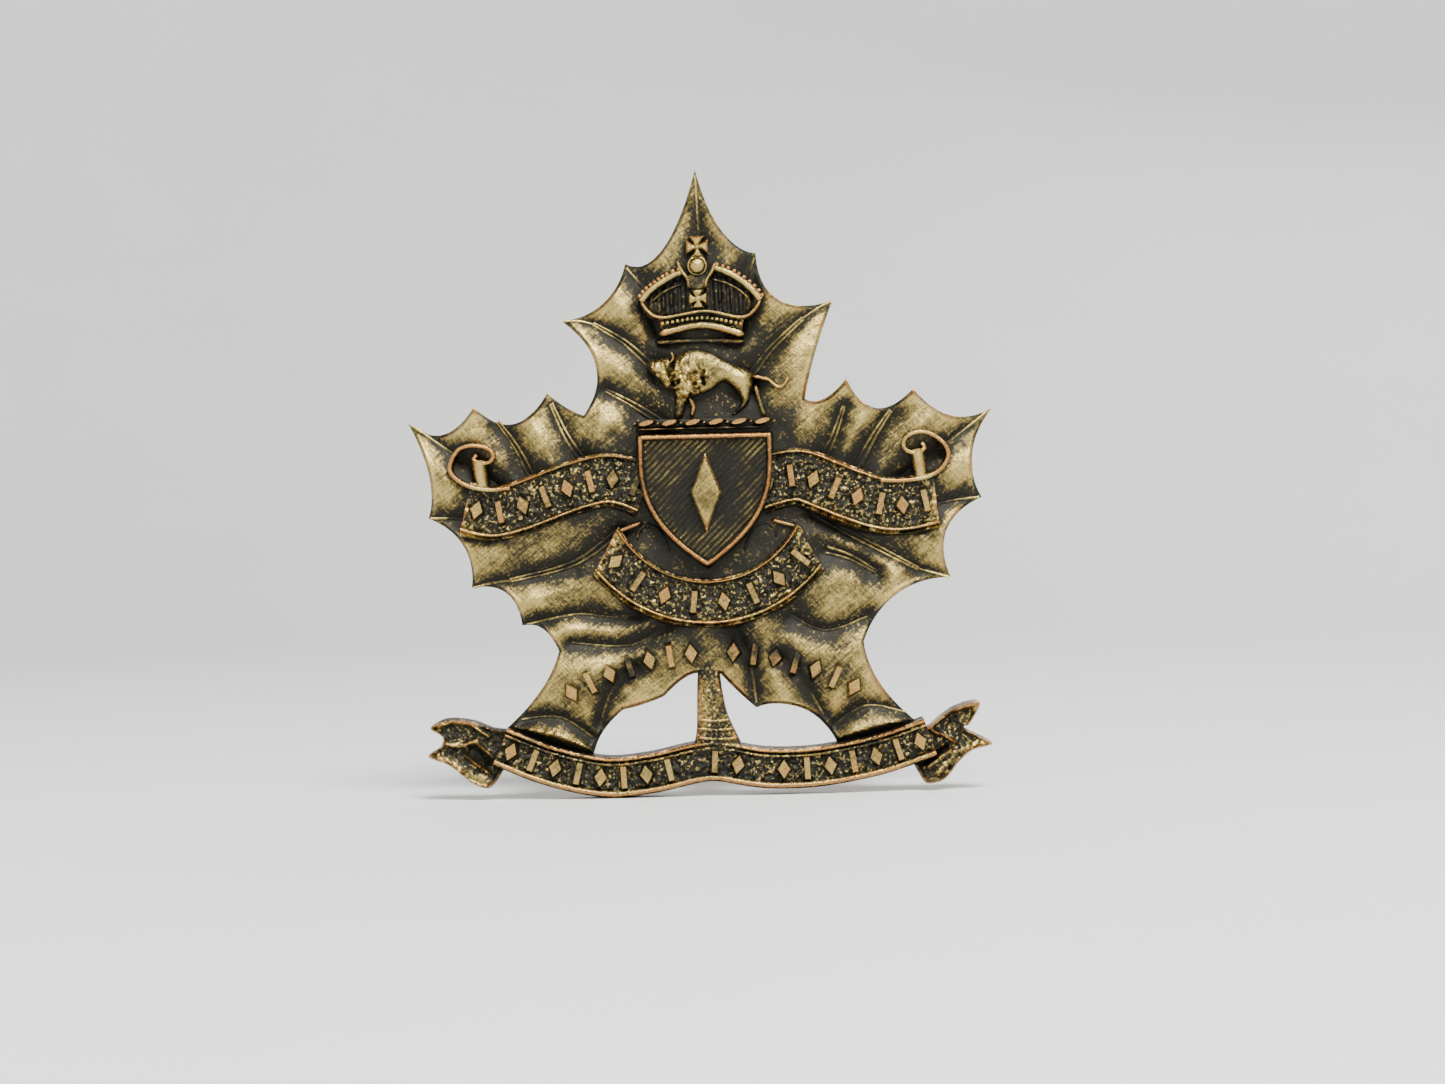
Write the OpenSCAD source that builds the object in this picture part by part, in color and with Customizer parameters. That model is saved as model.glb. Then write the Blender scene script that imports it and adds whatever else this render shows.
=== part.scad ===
// Struck cap badge: a maple leaf with a crown, a bison, a shield and four scrolls, worn upright.
// It is held to a cap by two wire lugs and a split pin.
// Frame: +Z up the badge, -Y out of its face, +X to the viewer's right.
// The origin lies on the seat plane, midway between the two lugs.
// Heights called "level" are measured from the seat plane out towards the face.

/* [Badge] */
// Height from the leaf's point to the lowest edge of the motto scroll
badge_h = 48; // [40:0.5:60]
// Width over the widest points of leaf and scroll ends
badge_w = 44.8; // [36:0.2:56]
// Thickness of the leaf at its rim
rim_t = 1.7; // [1.3:0.1:2.4]
// Least width of the flat rim that seats on the cap
rim_w = 1.5; // [1:0.05:2]
// Depth of the hollow behind the leaf
hollow_d = 0.5; // [0.3:0.05:0.7]
// Metal left between the shield's field and the deeper hollow behind it
shield_wall = 1.2; // [0.9:0.05:1.5]

/* [Relief] */
// Height of the leaf's veins over the leaf
vein_rise = 0.25; // [0.1:0.05:0.5]
// Height of the side and lower scrolls over the leaf
scroll_rise = 0.7; // [0.4:0.05:1.2]
// Width of the raised line along each scroll's edges
scroll_line = 0.35; // [0.2:0.05:0.5]
// Height of raised lines and ornament over what they stand on
line_rise = 0.25; // [0.1:0.05:0.5]
// Height of the shield's field over the leaf
shield_rise = 1.1; // [0.7:0.05:1.4]
// Width of the shield's raised border
shield_border = 0.4; // [0.25:0.05:0.6]
// Height of crown, wreath and bison over the leaf
charge_rise = 0.9; // [0.5:0.05:1.3]

/* [Lugs] */
// Diameter of the lug wire
lug_wire = 1.3; // [1:0.1:1.8]
// Clearance all round the pin inside a lug
pin_clearance = 0.4; // [0.15:0.05:0.7]
// Room for cloth between the seat plane and the pin
cloth_gap = 2.4; // [2.1:0.1:4]
// Distance from the hollow's side wall in to a lug's centre
lug_inset = 3.2; // [2.6:0.1:4.5]
// Width of the solder fillet round a lug's foot
solder_w = 0.8; // [0.4:0.05:1]

/* [Split pin] */
// Diameter of the pin's two closed legs together
pin_d = 2; // [1.6:0.1:2.6]
// Gap between the two legs
pin_split = 0.16; // [0.1:0.02:0.3]
// Radius of the hole in the pin's eye
pin_eye_r = 0.9; // [0.7:0.05:1.3]
// Clearance between the eye and the lug beside it
pin_seat_gap = 0.3; // [0.15:0.05:0.6]
// Length of leg standing out past the far lug
pin_overhang = 4.5; // [3:0.5:7]

/* [Hidden] */
$fn = 48;
bend_steps = 7;
spline_steps = 6;
lap = 0.2;              // how far a raised shape reaches into what carries it
cut_past = 1;           // how far a cut runs past the face it opens

// The drawing below is in millimetres for a badge of this size, and follows badge_w and badge_h.
drawing_w = 44.7;
drawing_h = 48.04;
kx = badge_w / drawing_w;
kz = badge_h / drawing_h;

leaf_level = rim_t;
scroll_level = leaf_level + scroll_rise;
field_level = leaf_level + shield_rise;
charge_level = leaf_level + charge_rise;

// Leaf edge, clockwise from its point. Each row is a tip or a notch, then the middle of the bend that
// leads to the next one.
leaf_right = [
    [[0, 25], [1.9, 20.3]], [[4.5, 18.5], [6.1, 14.9]], [[10.3, 14.7], [8.9, 10.8]],
    [[8, 7.2], [9.5, 7.2]], [[11.2, 8.7], [13.4, 6.4]], [[16.3, 7.8], [19.1, 5.7]],
    [[22.3, 6.2], [20.7, 2.7]], [[21.4, -0.6], [18.6, -3.1]], [[18.9, -6.7], [14.7, -7.9]],
    [[12.1, -11.5], [13.4, -14.9]], [[16.6, -18.2], [16, -19]]
];
leaf_foot = [
    [[15, -19.6], [12.6, -20.2]], [[10.5, -20.6], [10.1, -19.6]], [[9.6, -18.6], [8.4, -17.2]],
    [[7, -16.4], [5.3, -16.1]], [[3.8, -16.4], [2.5, -15.2]], [[1.1, -13.7], [0.3, -13.6]],
    [[-0.5, -13.6], [-1.7, -14]], [[-3.2, -15.3], [-4.8, -15.9]], [[-6.4, -16.3], [-7.8, -17.7]],
    [[-8.6, -19.2], [-9, -20.2]], [[-9.4, -20.8], [-12, -20.4]], [[-14.4, -19.6], [-15, -18.6]]
];
leaf_left = [
    [[-15.3, -17.5], [-12.6, -14.6]], [[-11.2, -11.7], [-12.4, -10]], [[-14, -9.7], [-15.1, -7.2]],
    [[-17.8, -6.7], [-18.3, -3.5]], [[-21, -1.3], [-20.8, 1.9]], [[-22.4, 6], [-19.7, 5.1]],
    [[-17.3, 7.1], [-14.3, 5.8]], [[-11.7, 8.1], [-10.3, 7]], [[-8.9, 6.3], [-7.9, 10.1]],
    [[-10.4, 13.6], [-7.2, 14.9]], [[-5.5, 17.9], [-2.6, 18.9]]
];
stem_edge = [
    [-0.5, -13.2], [0.8, -13.2], [1.2, -15], [1.6, -16.9], [2.6, -19.2], [2.6, -20], [-0.9, -20],
    [-0.8, -17.8]
];
tail_left = [
    [-15, -17.9], [-16.4, -17.5], [-17.9, -16.9], [-19.9, -16.7], [-21.2, -17.4], [-20.3, -18.1],
    [-20.4, -18.8], [-21.4, -19.6], [-19.8, -20.3], [-18.2, -21.6], [-17.1, -22.1], [-16.4, -21.8],
    [-15.6, -20.6], [-14.8, -19.6]
];
tail_right = [
    [15, -18.6], [16.7, -18.2], [17.9, -17.3], [19, -16.6], [20.5, -16.2], [20.9, -16.6],
    [20.1, -18], [19.7, -18.3], [21.8, -19.5], [20.3, -20], [19.2, -20.9], [18.1, -22.2],
    [16.8, -22.5], [16.3, -22], [15.6, -20.6]
];

// Scroll midlines with their half widths
motto_mid = [
    [-15.8, -18.9], [-12.2, -20.4], [-8, -21.4], [-4.4, -21.2], [-1, -20.5], [0.9, -20.4],
    [4.4, -21], [8, -21], [11.5, -20.5], [14, -19.9], [17, -18.9]
];
motto_half = 1.6;
left_mid = [
    [-18, -0.5], [-16, -1], [-14, -0.6], [-12, 0.1], [-9.7, 0.9], [-7.4, 1.4], [-5.6, 1.1], [-4.2, 0.5]
];
left_half = 1.9;
right_mid = [
    [4.2, 0.7], [6, 1.2], [7.6, 1.3], [9.4, 0.6], [11.3, -0.2], [13.3, -0.9], [15.2, -1.1], [17.8, -0.6]
];
right_half = 2;
lower_centre = [0.35, 1];
lower_r = 9.2;
lower_half = 1.7;
lower_sweep = 57;
curl_left = [
    [-18, 1.2], [-18.8, 1.9], [-19, 2.7], [-18.5, 3.8], [-17.4, 4.3], [-16.2, 4], [-15.7, 3.2], [-16.1, 2.6]
];
curl_right = [
    [17.8, 1.3], [18.6, 1.9], [18.9, 2.8], [18.3, 3.9], [17.2, 4.3], [16, 4.4], [15.5, 3.6], [15.9, 2.9]
];
curl_tail_left = [[-17.6, 3.2], [-16.1, 3], [-16, 0.6], [-17.5, 0.8]];
curl_tail_right = [[15.5, 3.4], [17, 3.3], [17.1, 0.8], [15.6, 0.8]];

// Row of ornament struck straight on the leaf, on an arc, with its two ends in degrees
leaf_row_centre = [0.5, -33.6];
leaf_row_r = 21.6;
leaf_row_ends = [-32, 32];
ornament_h = 2;
ornament_w = 1.3;
bar_w = 0.45;

// Shield, wreath, bison and crown
shield_x = 0.3;
shield_half = 5.1;
shield_top = 4.65;
shield_bend = 3;
shield_tip = -5.5;
shield_hollow_inset = 1.6;
shield_arch = 2.55;     // how long its sides stay wide before they turn in to the tip
shield_tip_slope = 1.3; // how much further than its sides the tip moves in with the outline
charge_edge = [[0.3, 3.2], [1.5, 0.2], [0.3, -2.8], [-0.9, 0.2]];
wreath_ends = [-5, 5.6];
wreath_z = 5.5;
wreath_half = 0.3;
wreath_strands = 6;
strand_edge = [[0.1, -0.3], [0.9, -0.2], [1.6, 0.3], [0.8, 0.2]];     // from the start of its pitch
bison_body = [
    [-3.8, 10.4], [-3, 10.6], [-1.5, 10.9], [-0.4, 11.3], [0.6, 11], [1.8, 10.3], [3.2, 9.8],
    [4, 9.3], [4.1, 8.4], [3.9, 7.9], [3.7, 6.9], [2.8, 6.1], [2.4, 6.2], [3.1, 7], [2.9, 7.8],
    [2.2, 8.4], [1.8, 8.6], [0.9, 8], [-0.2, 7.6], [-0.9, 7.2], [-1.3, 6], [-2, 6], [-1.9, 7.8],
    [-2.6, 8.2], [-3.1, 8.9], [-3.8, 9.6]
];
bison_tail = [[4, 9], [4.9, 8.7], [5.4, 8.5], [5.9, 8], [6.3, 8.1], [6.7, 8.7]];
tail_half = 0.15;
bison_mane = [-0.7, 9.4];
bison_mane_r = 1.5;
bison_head = [-2.8, 9.6];
bison_head_r = 0.85;
crown_body = [
    [-3, 11.6], [3.5, 11.5], [3.6, 13.4], [4.9, 14.8], [4, 15.8], [3.2, 16.5], [1.4, 17.4],
    [-1.3, 17.2], [-2.9, 16.3], [-4.4, 14.9], [-3, 13.5]
];
crown_arch_left = [[-4.1, 14.8], [-2.8, 16], [-1.2, 16.8]];
crown_arch_right = [[4.6, 14.7], [3.1, 16.2], [1.3, 17]];
crown_band = [[-3, 12.3], [0.4, 12.9], [3.5, 12.1]];
crown_rim = [[-4.3, 14.8], [-3, 13.6], [0.5, 14], [3.5, 13.5], [4.7, 14.7]];
crown_bar_half = 0.25;
crown_line_half = 0.16;
crown_orb = [0, 17.5];
crown_orb_r = 0.6;
crown_cross = [0.05, 18.9];
cross_arm_edge = [[-0.12, -0.1], [0.12, -0.1], [0.5, 0.85], [-0.5, 0.85]];      // one arm, from the middle

// Edge of the hollow behind the leaf, clockwise from its top, drawn hollow_margin inside the leaf's notches
hollow_margin = 1.5;
hollow_side = 17.5;
hollow_edge = [
    [0, 20], [3, 15.5], [7, 12.6], [6.4, 8.5], [7.4, 5.4], [11, 4.9], [15, 4.6], [18.6, 3.4],
    [hollow_side, 0], [16.4, -3.6], [12.4, -6.6], [10.2, -10.6], [11.4, -15], [7.6, -14.3],
    [4, -14], [1, -11.6], [-1, -11.6], [-3.6, -13.4], [-6.8, -14.3], [-10.6, -14.9],
    [-9.3, -11], [-12, -7], [-15.8, -4.4], [-hollow_side, 0], [-18.6, 3.3], [-15, 4.2],
    [-11, 4.6], [-7.4, 5], [-6.2, 9], [-7.4, 12], [-3.2, 15.4]
];

// Veins: root end, then tip
veins = [
    [[0.2, 20.2], [0, 23.6]], [[-4, 10.3], [-7.8, 13.3]], [[4.2, 9.4], [7.8, 13.2]],
    [[-3.2, 6], [-6.9, 8.1]], [[-9.5, 3.4], [-11.4, 7]], [[-13.1, 1.6], [-15.4, 5.4]],
    [[9.5, 3.1], [11, 6.2]], [[12.1, 2.3], [14.3, 5.7]], [[-6.7, -2.8], [-17.6, -6.3]],
    [[9.2, -1.9], [16.4, -5.9]], [[9.1, -5.8], [13.4, -7.5]], [[-5.2, -9], [-9.6, -8.9]]
];
vein_root_w = 0.5;
vein_tip_w = 0.16;

// Hollow back, lugs and pin, worked out from the values above
hollow_half = hollow_side * kx - (rim_w - hollow_margin);
lug_x = hollow_half - lug_inset;
lug_arch_r = pin_d / 2 + pin_clearance + lug_wire / 2;
lug_reach = cloth_gap + pin_d / 2;          // from the seat plane to the middle of the arch and the pin
solder_r = lug_wire / 2 + solder_w;
pin_eye_out = pin_eye_r + pin_d / 2;
pin_eye_x = lug_x + lug_wire / 2 + pin_seat_gap + pin_eye_out;
pin_tip_x = -lug_x - lug_wire / 2 - pin_overhang;

function place(p) = [p[0] * kx, p[1] * kz];
// A parabola from a to b whose middle is at m
function bent(a, m, b) = [
    for (i = [0 : bend_steps - 1]) let (t = i / bend_steps)
        (1 - t) * (1 - 2 * t) * a + 4 * t * (1 - t) * m + t * (2 * t - 1) * b
];
function edge(rows) = [
    for (i = [0 : len(rows) - 1]) each bent(rows[i][0], rows[i][1], rows[(i + 1) % len(rows)][0])
];
function leaf_outline() = [for (p = edge(concat(leaf_right, leaf_foot, leaf_left))) place(p)];

// Catmull-Rom spline through the points of a path
function span(a, b, c, d, t) =
    b + 0.5 * ((c - a) * t + (2 * a - 5 * b + 4 * c - d) * t ^ 2 + (3 * b - 3 * c + d - a) * t ^ 3);
function knot(p, i) = p[max(0, min(len(p) - 1, i))];
function smooth(p) = concat(
    [for (i = [0 : len(p) - 2], s = [0 : spline_steps - 1])
        span(knot(p, i - 1), p[i], p[i + 1], knot(p, i + 2), s / spline_steps)],
    [p[len(p) - 1]]);
function wrap(p, i) = p[(i + len(p)) % len(p)];
function smooth_loop(p) = [
    for (i = [0 : len(p) - 1], s = [0 : spline_steps - 1])
        span(wrap(p, i - 1), p[i], wrap(p, i + 1), wrap(p, i + 2), s / spline_steps)
];
function unit(v) = v / norm(v);
function across(p, i) = let (d = unit(knot(p, i + 1) - knot(p, i - 1))) [-d[1], d[0]];
function beside(p, off) = [for (i = [0 : len(p) - 1]) p[i] + off * across(p, i)];
function inset_loop(p, off) = [
    for (i = [0 : len(p) - 1]) let (d = unit(wrap(p, i + 1) - wrap(p, i - 1))) p[i] + off * [d[1], -d[0]]
];
function backwards(p) = [for (i = [len(p) - 1 : -1 : 0]) p[i]];
function strip(p, inner, outer) = [
    for (q = concat(beside(p, outer), backwards(beside(p, inner)))) place(q)
];
function arc(centre, r, from, to, n) = [
    for (i = [0 : n]) let (a = from + (to - from) * i / n) centre + r * [sin(a), cos(a)]
];
function lower_mid() = arc(lower_centre, lower_r, 180 + lower_sweep, 180 - lower_sweep, 24);
function leaf_row() = arc(leaf_row_centre, leaf_row_r, leaf_row_ends[0], leaf_row_ends[1], 24);

// Everything raised is drawn in X and Z and grown towards the face between two levels.
module raise(from, to) {
    rotate([90, 0, 0]) translate([0, 0, from]) linear_extrude(to - from) children();
}

module drawn(points) {
    polygon([for (p = points) place(p)]);
}

module leaf_plate() {
    color("darkkhaki") raise(0, leaf_level) polygon(leaf_outline());
}

module vein(root, tip) {
    side = across([root, tip], 0);
    raise(leaf_level - lap, leaf_level + vein_rise) drawn([
        root - vein_root_w / 2 * side, tip - vein_tip_w / 2 * side,
        tip + vein_tip_w / 2 * side, root + vein_root_w / 2 * side
    ]);
}

module leaf_veins() {
    color("khaki") for (v = veins) vein(v[0], v[1]);
}

module stem() {
    color("darkkhaki") raise(0, leaf_level + vein_rise) drawn(stem_edge);
}

// A flat band with a raised line along both edges
module scroll(mid, half, from, level) {
    color("darkkhaki") raise(from, level) polygon(strip(mid, -half, half));
    color("peru") {
        raise(level - lap, level + line_rise) polygon(strip(mid, half - scroll_line, half));
        raise(level - lap, level + line_rise) polygon(strip(mid, -half, -half + scroll_line));
    }
}

// The rolled end of a side scroll, seen on its edge
module curl(path, tail) {
    color("peru") raise(leaf_level - lap, scroll_level + line_rise)
        polygon(strip(smooth(path), -scroll_line / 2, scroll_line / 2));
    color("darkkhaki") raise(leaf_level - lap, scroll_level) drawn(tail);
}

module scroll_end(points) {
    color("darkkhaki") raise(0, leaf_level) drawn(points);
}

// Lozenges and upright bars take turns along a row, each turned to stand square on it
module ornament(at, angle, kind, level) {
    half = [ornament_w, ornament_h] / 2;
    raise(level - lap, level + line_rise) translate(place(at)) rotate(angle)
        if (kind == 0) polygon([[-half[0], 0], [0, -half[1]], [half[0], 0], [0, half[1]]]);
        else square([bar_w, ornament_h], center = true);
}

// Ornament along a path of points, leaving out the places in gaps
module ornament_row(path, count, level, gaps = []) {
    color("peru") for (i = [0 : count - 1]) if (len(search(i, gaps)) == 0) {
        along = (i + 0.5) / count * (len(path) - 1);
        k = floor(along);
        way = path[k + 1] - path[k];
        ornament(path[k] + (along - k) * way, atan2(way[1], way[0]), i % 2, level);
    }
}

// The shield's edge, drawn in from its outside by inset
function shield_side(inset) =
    let (w = shield_half - inset, low = shield_bend - shield_tip - shield_tip_slope * inset) [
        for (t = [0 : 0.1 : 1]) [w * (1 - t ^ shield_arch), shield_bend - low * t]
    ];
function shield_outline(inset) = let (side = shield_side(inset), top = shield_top - inset) concat(
    [[shield_x - side[0][0], top], [shield_x + side[0][0], top]],
    [for (p = side) [shield_x + p[0], p[1]]],
    [for (i = [9 : -1 : 0]) [shield_x - side[i][0], side[i][1]]]
);

module shield() {
    color("dimgray") raise(leaf_level - lap, field_level) drawn(shield_outline(0));
    color("peru") raise(field_level - lap, field_level + 2 * line_rise) difference() {
        drawn(shield_outline(0));
        drawn(shield_outline(shield_border));
    }
    // the charge is a tall lozenge
    color("khaki") raise(field_level - lap, field_level + 2 * line_rise) drawn(charge_edge);
}

// A twisted bar: slanting strands on a straight core
module wreath() {
    pitch = (wreath_ends[1] - wreath_ends[0]) / wreath_strands;
    core = [for (x = wreath_ends) [x, wreath_z]];
    color("khaki") {
        raise(leaf_level - lap, leaf_level + charge_rise / 2)
            polygon(strip(core, -wreath_half, wreath_half));
        for (i = [0 : wreath_strands - 1]) let (start = [wreath_ends[0] + pitch * i, wreath_z])
            raise(leaf_level, charge_level) drawn([for (p = strand_edge) start + p]);
    }
}

module bison() {
    color("khaki") {
        raise(leaf_level - lap, charge_level) drawn(bison_body);
        raise(leaf_level - lap, leaf_level + charge_rise / 2)
            polygon(strip(smooth(bison_tail), -tail_half, tail_half));
        raise(charge_level - lap, charge_level + 2 * line_rise)
            translate(place(bison_mane)) circle(bison_mane_r);
        raise(charge_level - lap, charge_level + line_rise)
            translate(place(bison_head)) circle(bison_head_r);
    }
}

module crown() {
    color("khaki") {
        raise(leaf_level - lap, leaf_level + charge_rise / 2) drawn(crown_body);
        for (a = [crown_arch_left, crown_arch_right, crown_band])
            raise(leaf_level, charge_level) polygon(strip(smooth(a), -crown_bar_half, crown_bar_half));
        raise(leaf_level, charge_level + line_rise / 2)
            polygon(strip(smooth(crown_rim), -crown_line_half, crown_line_half));
        raise(leaf_level - lap, charge_level + line_rise) translate(place(crown_orb)) circle(crown_orb_r);
        // a plain cross with four splayed arms
        raise(leaf_level - lap, charge_level) translate(place(crown_cross))
            for (a = [0 : 90 : 270]) rotate(a) polygon(cross_arm_edge);
    }
}

// A shallow hollow inside the seating rim, deeper behind the shield
module hollow_back() {
    edge = [for (p = smooth_loop(hollow_edge)) place(p)];
    raise(-cut_past, hollow_d) polygon(inset_loop(edge, rim_w - hollow_margin));
    raise(0, field_level - shield_wall) drawn(shield_outline(shield_hollow_inset));
}

module struck_badge() {
    difference() {
        union() {
            leaf_plate();
            leaf_veins();
            stem();
            scroll_end(tail_left);
            scroll_end(tail_right);
            scroll(smooth(motto_mid), motto_half, 0, leaf_level + line_rise);
            scroll(smooth(left_mid), left_half, leaf_level - lap, scroll_level);
            scroll(smooth(right_mid), right_half, leaf_level - lap, scroll_level);
            scroll(lower_mid(), lower_half, leaf_level - lap, scroll_level);
            curl(curl_left, curl_tail_left);
            curl(curl_right, curl_tail_right);
            ornament_row(smooth(motto_mid), 19, leaf_level + line_rise, [8, 11]);
            ornament_row(smooth(left_mid), 8, scroll_level);
            ornament_row(smooth(right_mid), 8, scroll_level);
            ornament_row(lower_mid(), 8, scroll_level);
            ornament_row(leaf_row(), 15, leaf_level, [7]);
            shield();
            wreath();
            bison();
            crown();
        }
        hollow_back();
    }
}

// A wire stirrup on the hollow's floor, with its opening along X
module lug(x) {
    color("sienna") translate([x, 0, 0]) {
        for (s = [-1, 1]) translate([0, -hollow_d, s * lug_arch_r]) rotate([-90, 0, 0])
            cylinder(h = hollow_d + lug_reach, d = lug_wire);
        translate([0, lug_reach, 0]) rotate([0, -90, 0]) rotate_extrude(angle = 180)
            translate([lug_arch_r, 0]) circle(d = lug_wire);
    }
}

// The fillet of solder round one foot of a lug
module solder(x, side) {
    color("gray") translate([x, -hollow_d, side * lug_arch_r]) rotate([-90, 0, 0])
        rotate_extrude() polygon(concat(
            [[lug_wire / 2, 0], [solder_r, 0]],
            [for (a = [15 : 15 : 90]) [solder_r - solder_w * sin(a), solder_w * (1 - cos(a))]]
        ));
}

// Half-round wire folded into an eye and two legs that lie flat to flat
module split_pin() {
    leg = pin_eye_x - pin_tip_x;
    color("goldenrod") translate([0, lug_reach, 0]) difference() {
        union() {
            translate([pin_tip_x, 0, 0]) rotate([0, 90, 0]) cylinder(h = leg, d = pin_d);
            translate([pin_eye_x, 0, 0]) rotate([90, 0, 0]) rotate_extrude() intersection() {
                translate([pin_eye_r, 0]) circle(d = pin_d);
                translate([pin_eye_r, -pin_d]) square([pin_d, 2 * pin_d]);
            }
        }
        translate([pin_eye_x, 0, 0]) rotate([90, 0, 0])
            cylinder(h = 2 * pin_d, r = pin_eye_r, center = true);
        translate([pin_tip_x - cut_past, -pin_d, -pin_split / 2])
            cube([leg + cut_past, 2 * pin_d, pin_split]);
    }
}

struck_badge();
lug(-lug_x);  // left_lug
lug(lug_x);  // right_lug
solder(-lug_x, 1);  // left_upper_solder
solder(-lug_x, -1);  // left_lower_solder
solder(lug_x, 1);  // right_upper_solder
solder(lug_x, -1);  // right_lower_solder
split_pin();
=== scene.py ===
"""A die-struck cap badge: leaf, crown, bison, shield and scrolls in relief, with its lugs and split pin.

The drawing is in millimetres, X to the right and Z up, on the plane that seats on the cap. A level is
how far a point stands out of that plane towards the face, which is -Y. Meshes are in metres.
"""
import math

import bmesh
import bpy
import numpy as np
from bpy.props import FloatProperty, FloatVectorProperty, IntProperty, PointerProperty
from mathutils import Euler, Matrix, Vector, kdtree
from mathutils.bvhtree import BVHTree
from mathutils.geometry import delaunay_2d_cdt


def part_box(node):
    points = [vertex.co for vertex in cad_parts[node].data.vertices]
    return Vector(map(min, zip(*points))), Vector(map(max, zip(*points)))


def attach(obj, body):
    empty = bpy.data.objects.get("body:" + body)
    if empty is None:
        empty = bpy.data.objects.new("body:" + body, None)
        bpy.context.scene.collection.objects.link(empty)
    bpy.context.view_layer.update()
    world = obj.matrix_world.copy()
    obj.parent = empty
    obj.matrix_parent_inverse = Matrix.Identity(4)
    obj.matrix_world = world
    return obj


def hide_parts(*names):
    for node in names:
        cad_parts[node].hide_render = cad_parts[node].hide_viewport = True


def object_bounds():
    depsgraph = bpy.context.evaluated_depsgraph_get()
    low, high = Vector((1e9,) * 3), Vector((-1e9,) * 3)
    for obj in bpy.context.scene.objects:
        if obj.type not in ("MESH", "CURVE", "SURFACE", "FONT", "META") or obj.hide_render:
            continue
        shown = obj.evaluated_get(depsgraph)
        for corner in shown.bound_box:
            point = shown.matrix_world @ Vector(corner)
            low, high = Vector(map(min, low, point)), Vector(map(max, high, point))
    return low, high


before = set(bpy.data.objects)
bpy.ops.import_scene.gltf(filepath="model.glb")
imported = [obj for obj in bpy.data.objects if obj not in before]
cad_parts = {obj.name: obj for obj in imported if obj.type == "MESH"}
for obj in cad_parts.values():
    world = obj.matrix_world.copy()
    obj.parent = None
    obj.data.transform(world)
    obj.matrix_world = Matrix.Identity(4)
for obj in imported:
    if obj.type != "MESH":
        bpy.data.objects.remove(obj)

bl_info = {
    "name": "Struck Cap Badge",
    "version": (1, 0, 0),
    "blender": (4, 5, 0),
    "location": "3D View > Sidebar > Badge",
    "description": "Builds a struck leaf-shaped cap badge around its packed frame",
    "category": "Object",
}

MM = 0.001
CAD_BOUNDS = [list(corner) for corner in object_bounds()]
BADGE_LOW, BADGE_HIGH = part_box("struck_badge")
# The drawing's own size. It is stretched to the CAD badge's
DRAWING_W = 44.7
DRAWING_H = 48.04
SCALE_X = (BADGE_HIGH.x - BADGE_LOW.x) / DRAWING_W
SCALE_Z = (BADGE_HIGH.z - BADGE_LOW.z) / DRAWING_H
# Levels: the highest, the leaf at its veins and between them, what lies sunk in the leaf, and the fields
TOP_LEVEL = -BADGE_LOW.y / MM
VALLEY = 1.15
SWELL = 2.02
BURIED = 1.0
SCROLL_FIELD = 2.2
MOTTO_FIELD = 1.78
SHIELD_FOOT = 2.1
SHIELD_FIELD = 2.58
# Depths of the hollows behind the leaf and behind the shield
HOLLOW_D = 0.5
SHIELD_HOLLOW = 1.6
# How far the deep hollow's edge lies inside the shield's
SHIELD_WALL = 1.6
# Spacing of points on the back, and of rows in a staggered grid for each step along them
BACK_SPACING = 0.45
ROW_STEP = 0.866
# A wire's radius for each 1 of its CAD node's, so that it stays inside the node's box
WIRE_FIT = 0.998
# The gap between the pin's two legs
PIN_SPLIT = 0.16
# How far the two blurs reach that a point's height is compared with, in mm
NEAR = 0.28
WIDE = 1.25

# Leaf edge, clockwise from its point: a tip or notch, then the middle of the bend to the next one
LEAF_EDGE = [
    ((0, 25), (1.9, 20.3)), ((4.5, 18.5), (6.1, 14.9)), ((10.3, 14.7), (8.9, 10.8)),
    ((8, 7.2), (9.5, 7.2)), ((11.2, 8.7), (13.4, 6.4)), ((16.3, 7.8), (19.1, 5.7)),
    ((22.3, 6.2), (20.7, 2.7)), ((21.4, -0.6), (18.6, -3.1)), ((18.9, -6.7), (14.7, -7.9)),
    ((12.1, -11.5), (13.4, -14.9)), ((16.6, -18.2), (16, -19)),
    ((15, -19.6), (12.6, -20.2)), ((10.5, -20.6), (10.1, -19.6)), ((9.6, -18.6), (8.4, -17.2)),
    ((7, -16.4), (5.3, -16.1)), ((3.8, -16.4), (2.5, -15.2)), ((1.1, -13.7), (0.3, -13.6)),
    ((-0.5, -13.6), (-1.7, -14)), ((-3.2, -15.3), (-4.8, -15.9)), ((-6.4, -16.3), (-7.8, -17.7)),
    ((-8.6, -19.2), (-9, -20.2)), ((-9.4, -20.8), (-12, -20.4)), ((-14.4, -19.6), (-15, -18.6)),
    ((-15.3, -17.5), (-12.6, -14.6)), ((-11.2, -11.7), (-12.4, -10)), ((-14, -9.7), (-15.1, -7.2)),
    ((-17.8, -6.7), (-18.3, -3.5)), ((-21, -1.3), (-20.8, 1.9)), ((-22.4, 6), (-19.7, 5.1)),
    ((-17.3, 7.1), (-14.3, 5.8)), ((-11.7, 8.1), (-10.3, 7)), ((-8.9, 6.3), (-7.9, 10.1)),
    ((-10.4, 13.6), (-7.2, 14.9)), ((-5.5, 17.9), (-2.6, 18.9)),
]
# Veins struck as a double line, from the root out
DOUBLE_VEINS = [
    [(3.6, 8.6), (5.6, 11.2), (8, 13.4)], [(9.3, 2.6), (10.2, 4.4), (11, 6.6)],
    [(12, 2), (13.2, 4.2), (14.6, 6.2)], [(8.4, -1.4), (12.4, -3.8), (16.4, -6)],
    [(9.4, -4.4), (11.2, -5), (13.2, -6.2)], [(-3.6, 9.9), (-5.6, 11.8), (-8, 13.3)],
    [(-3, 5.6), (-5, 7), (-7.2, 8.2)], [(-9.2, 3), (-10.4, 5), (-11.4, 7.3)],
    [(-13, 1.6), (-14, 3.8), (-15.5, 6)], [(-6.3, -2.6), (-9.9, -5), (-14.8, -6.2)],
]
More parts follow.
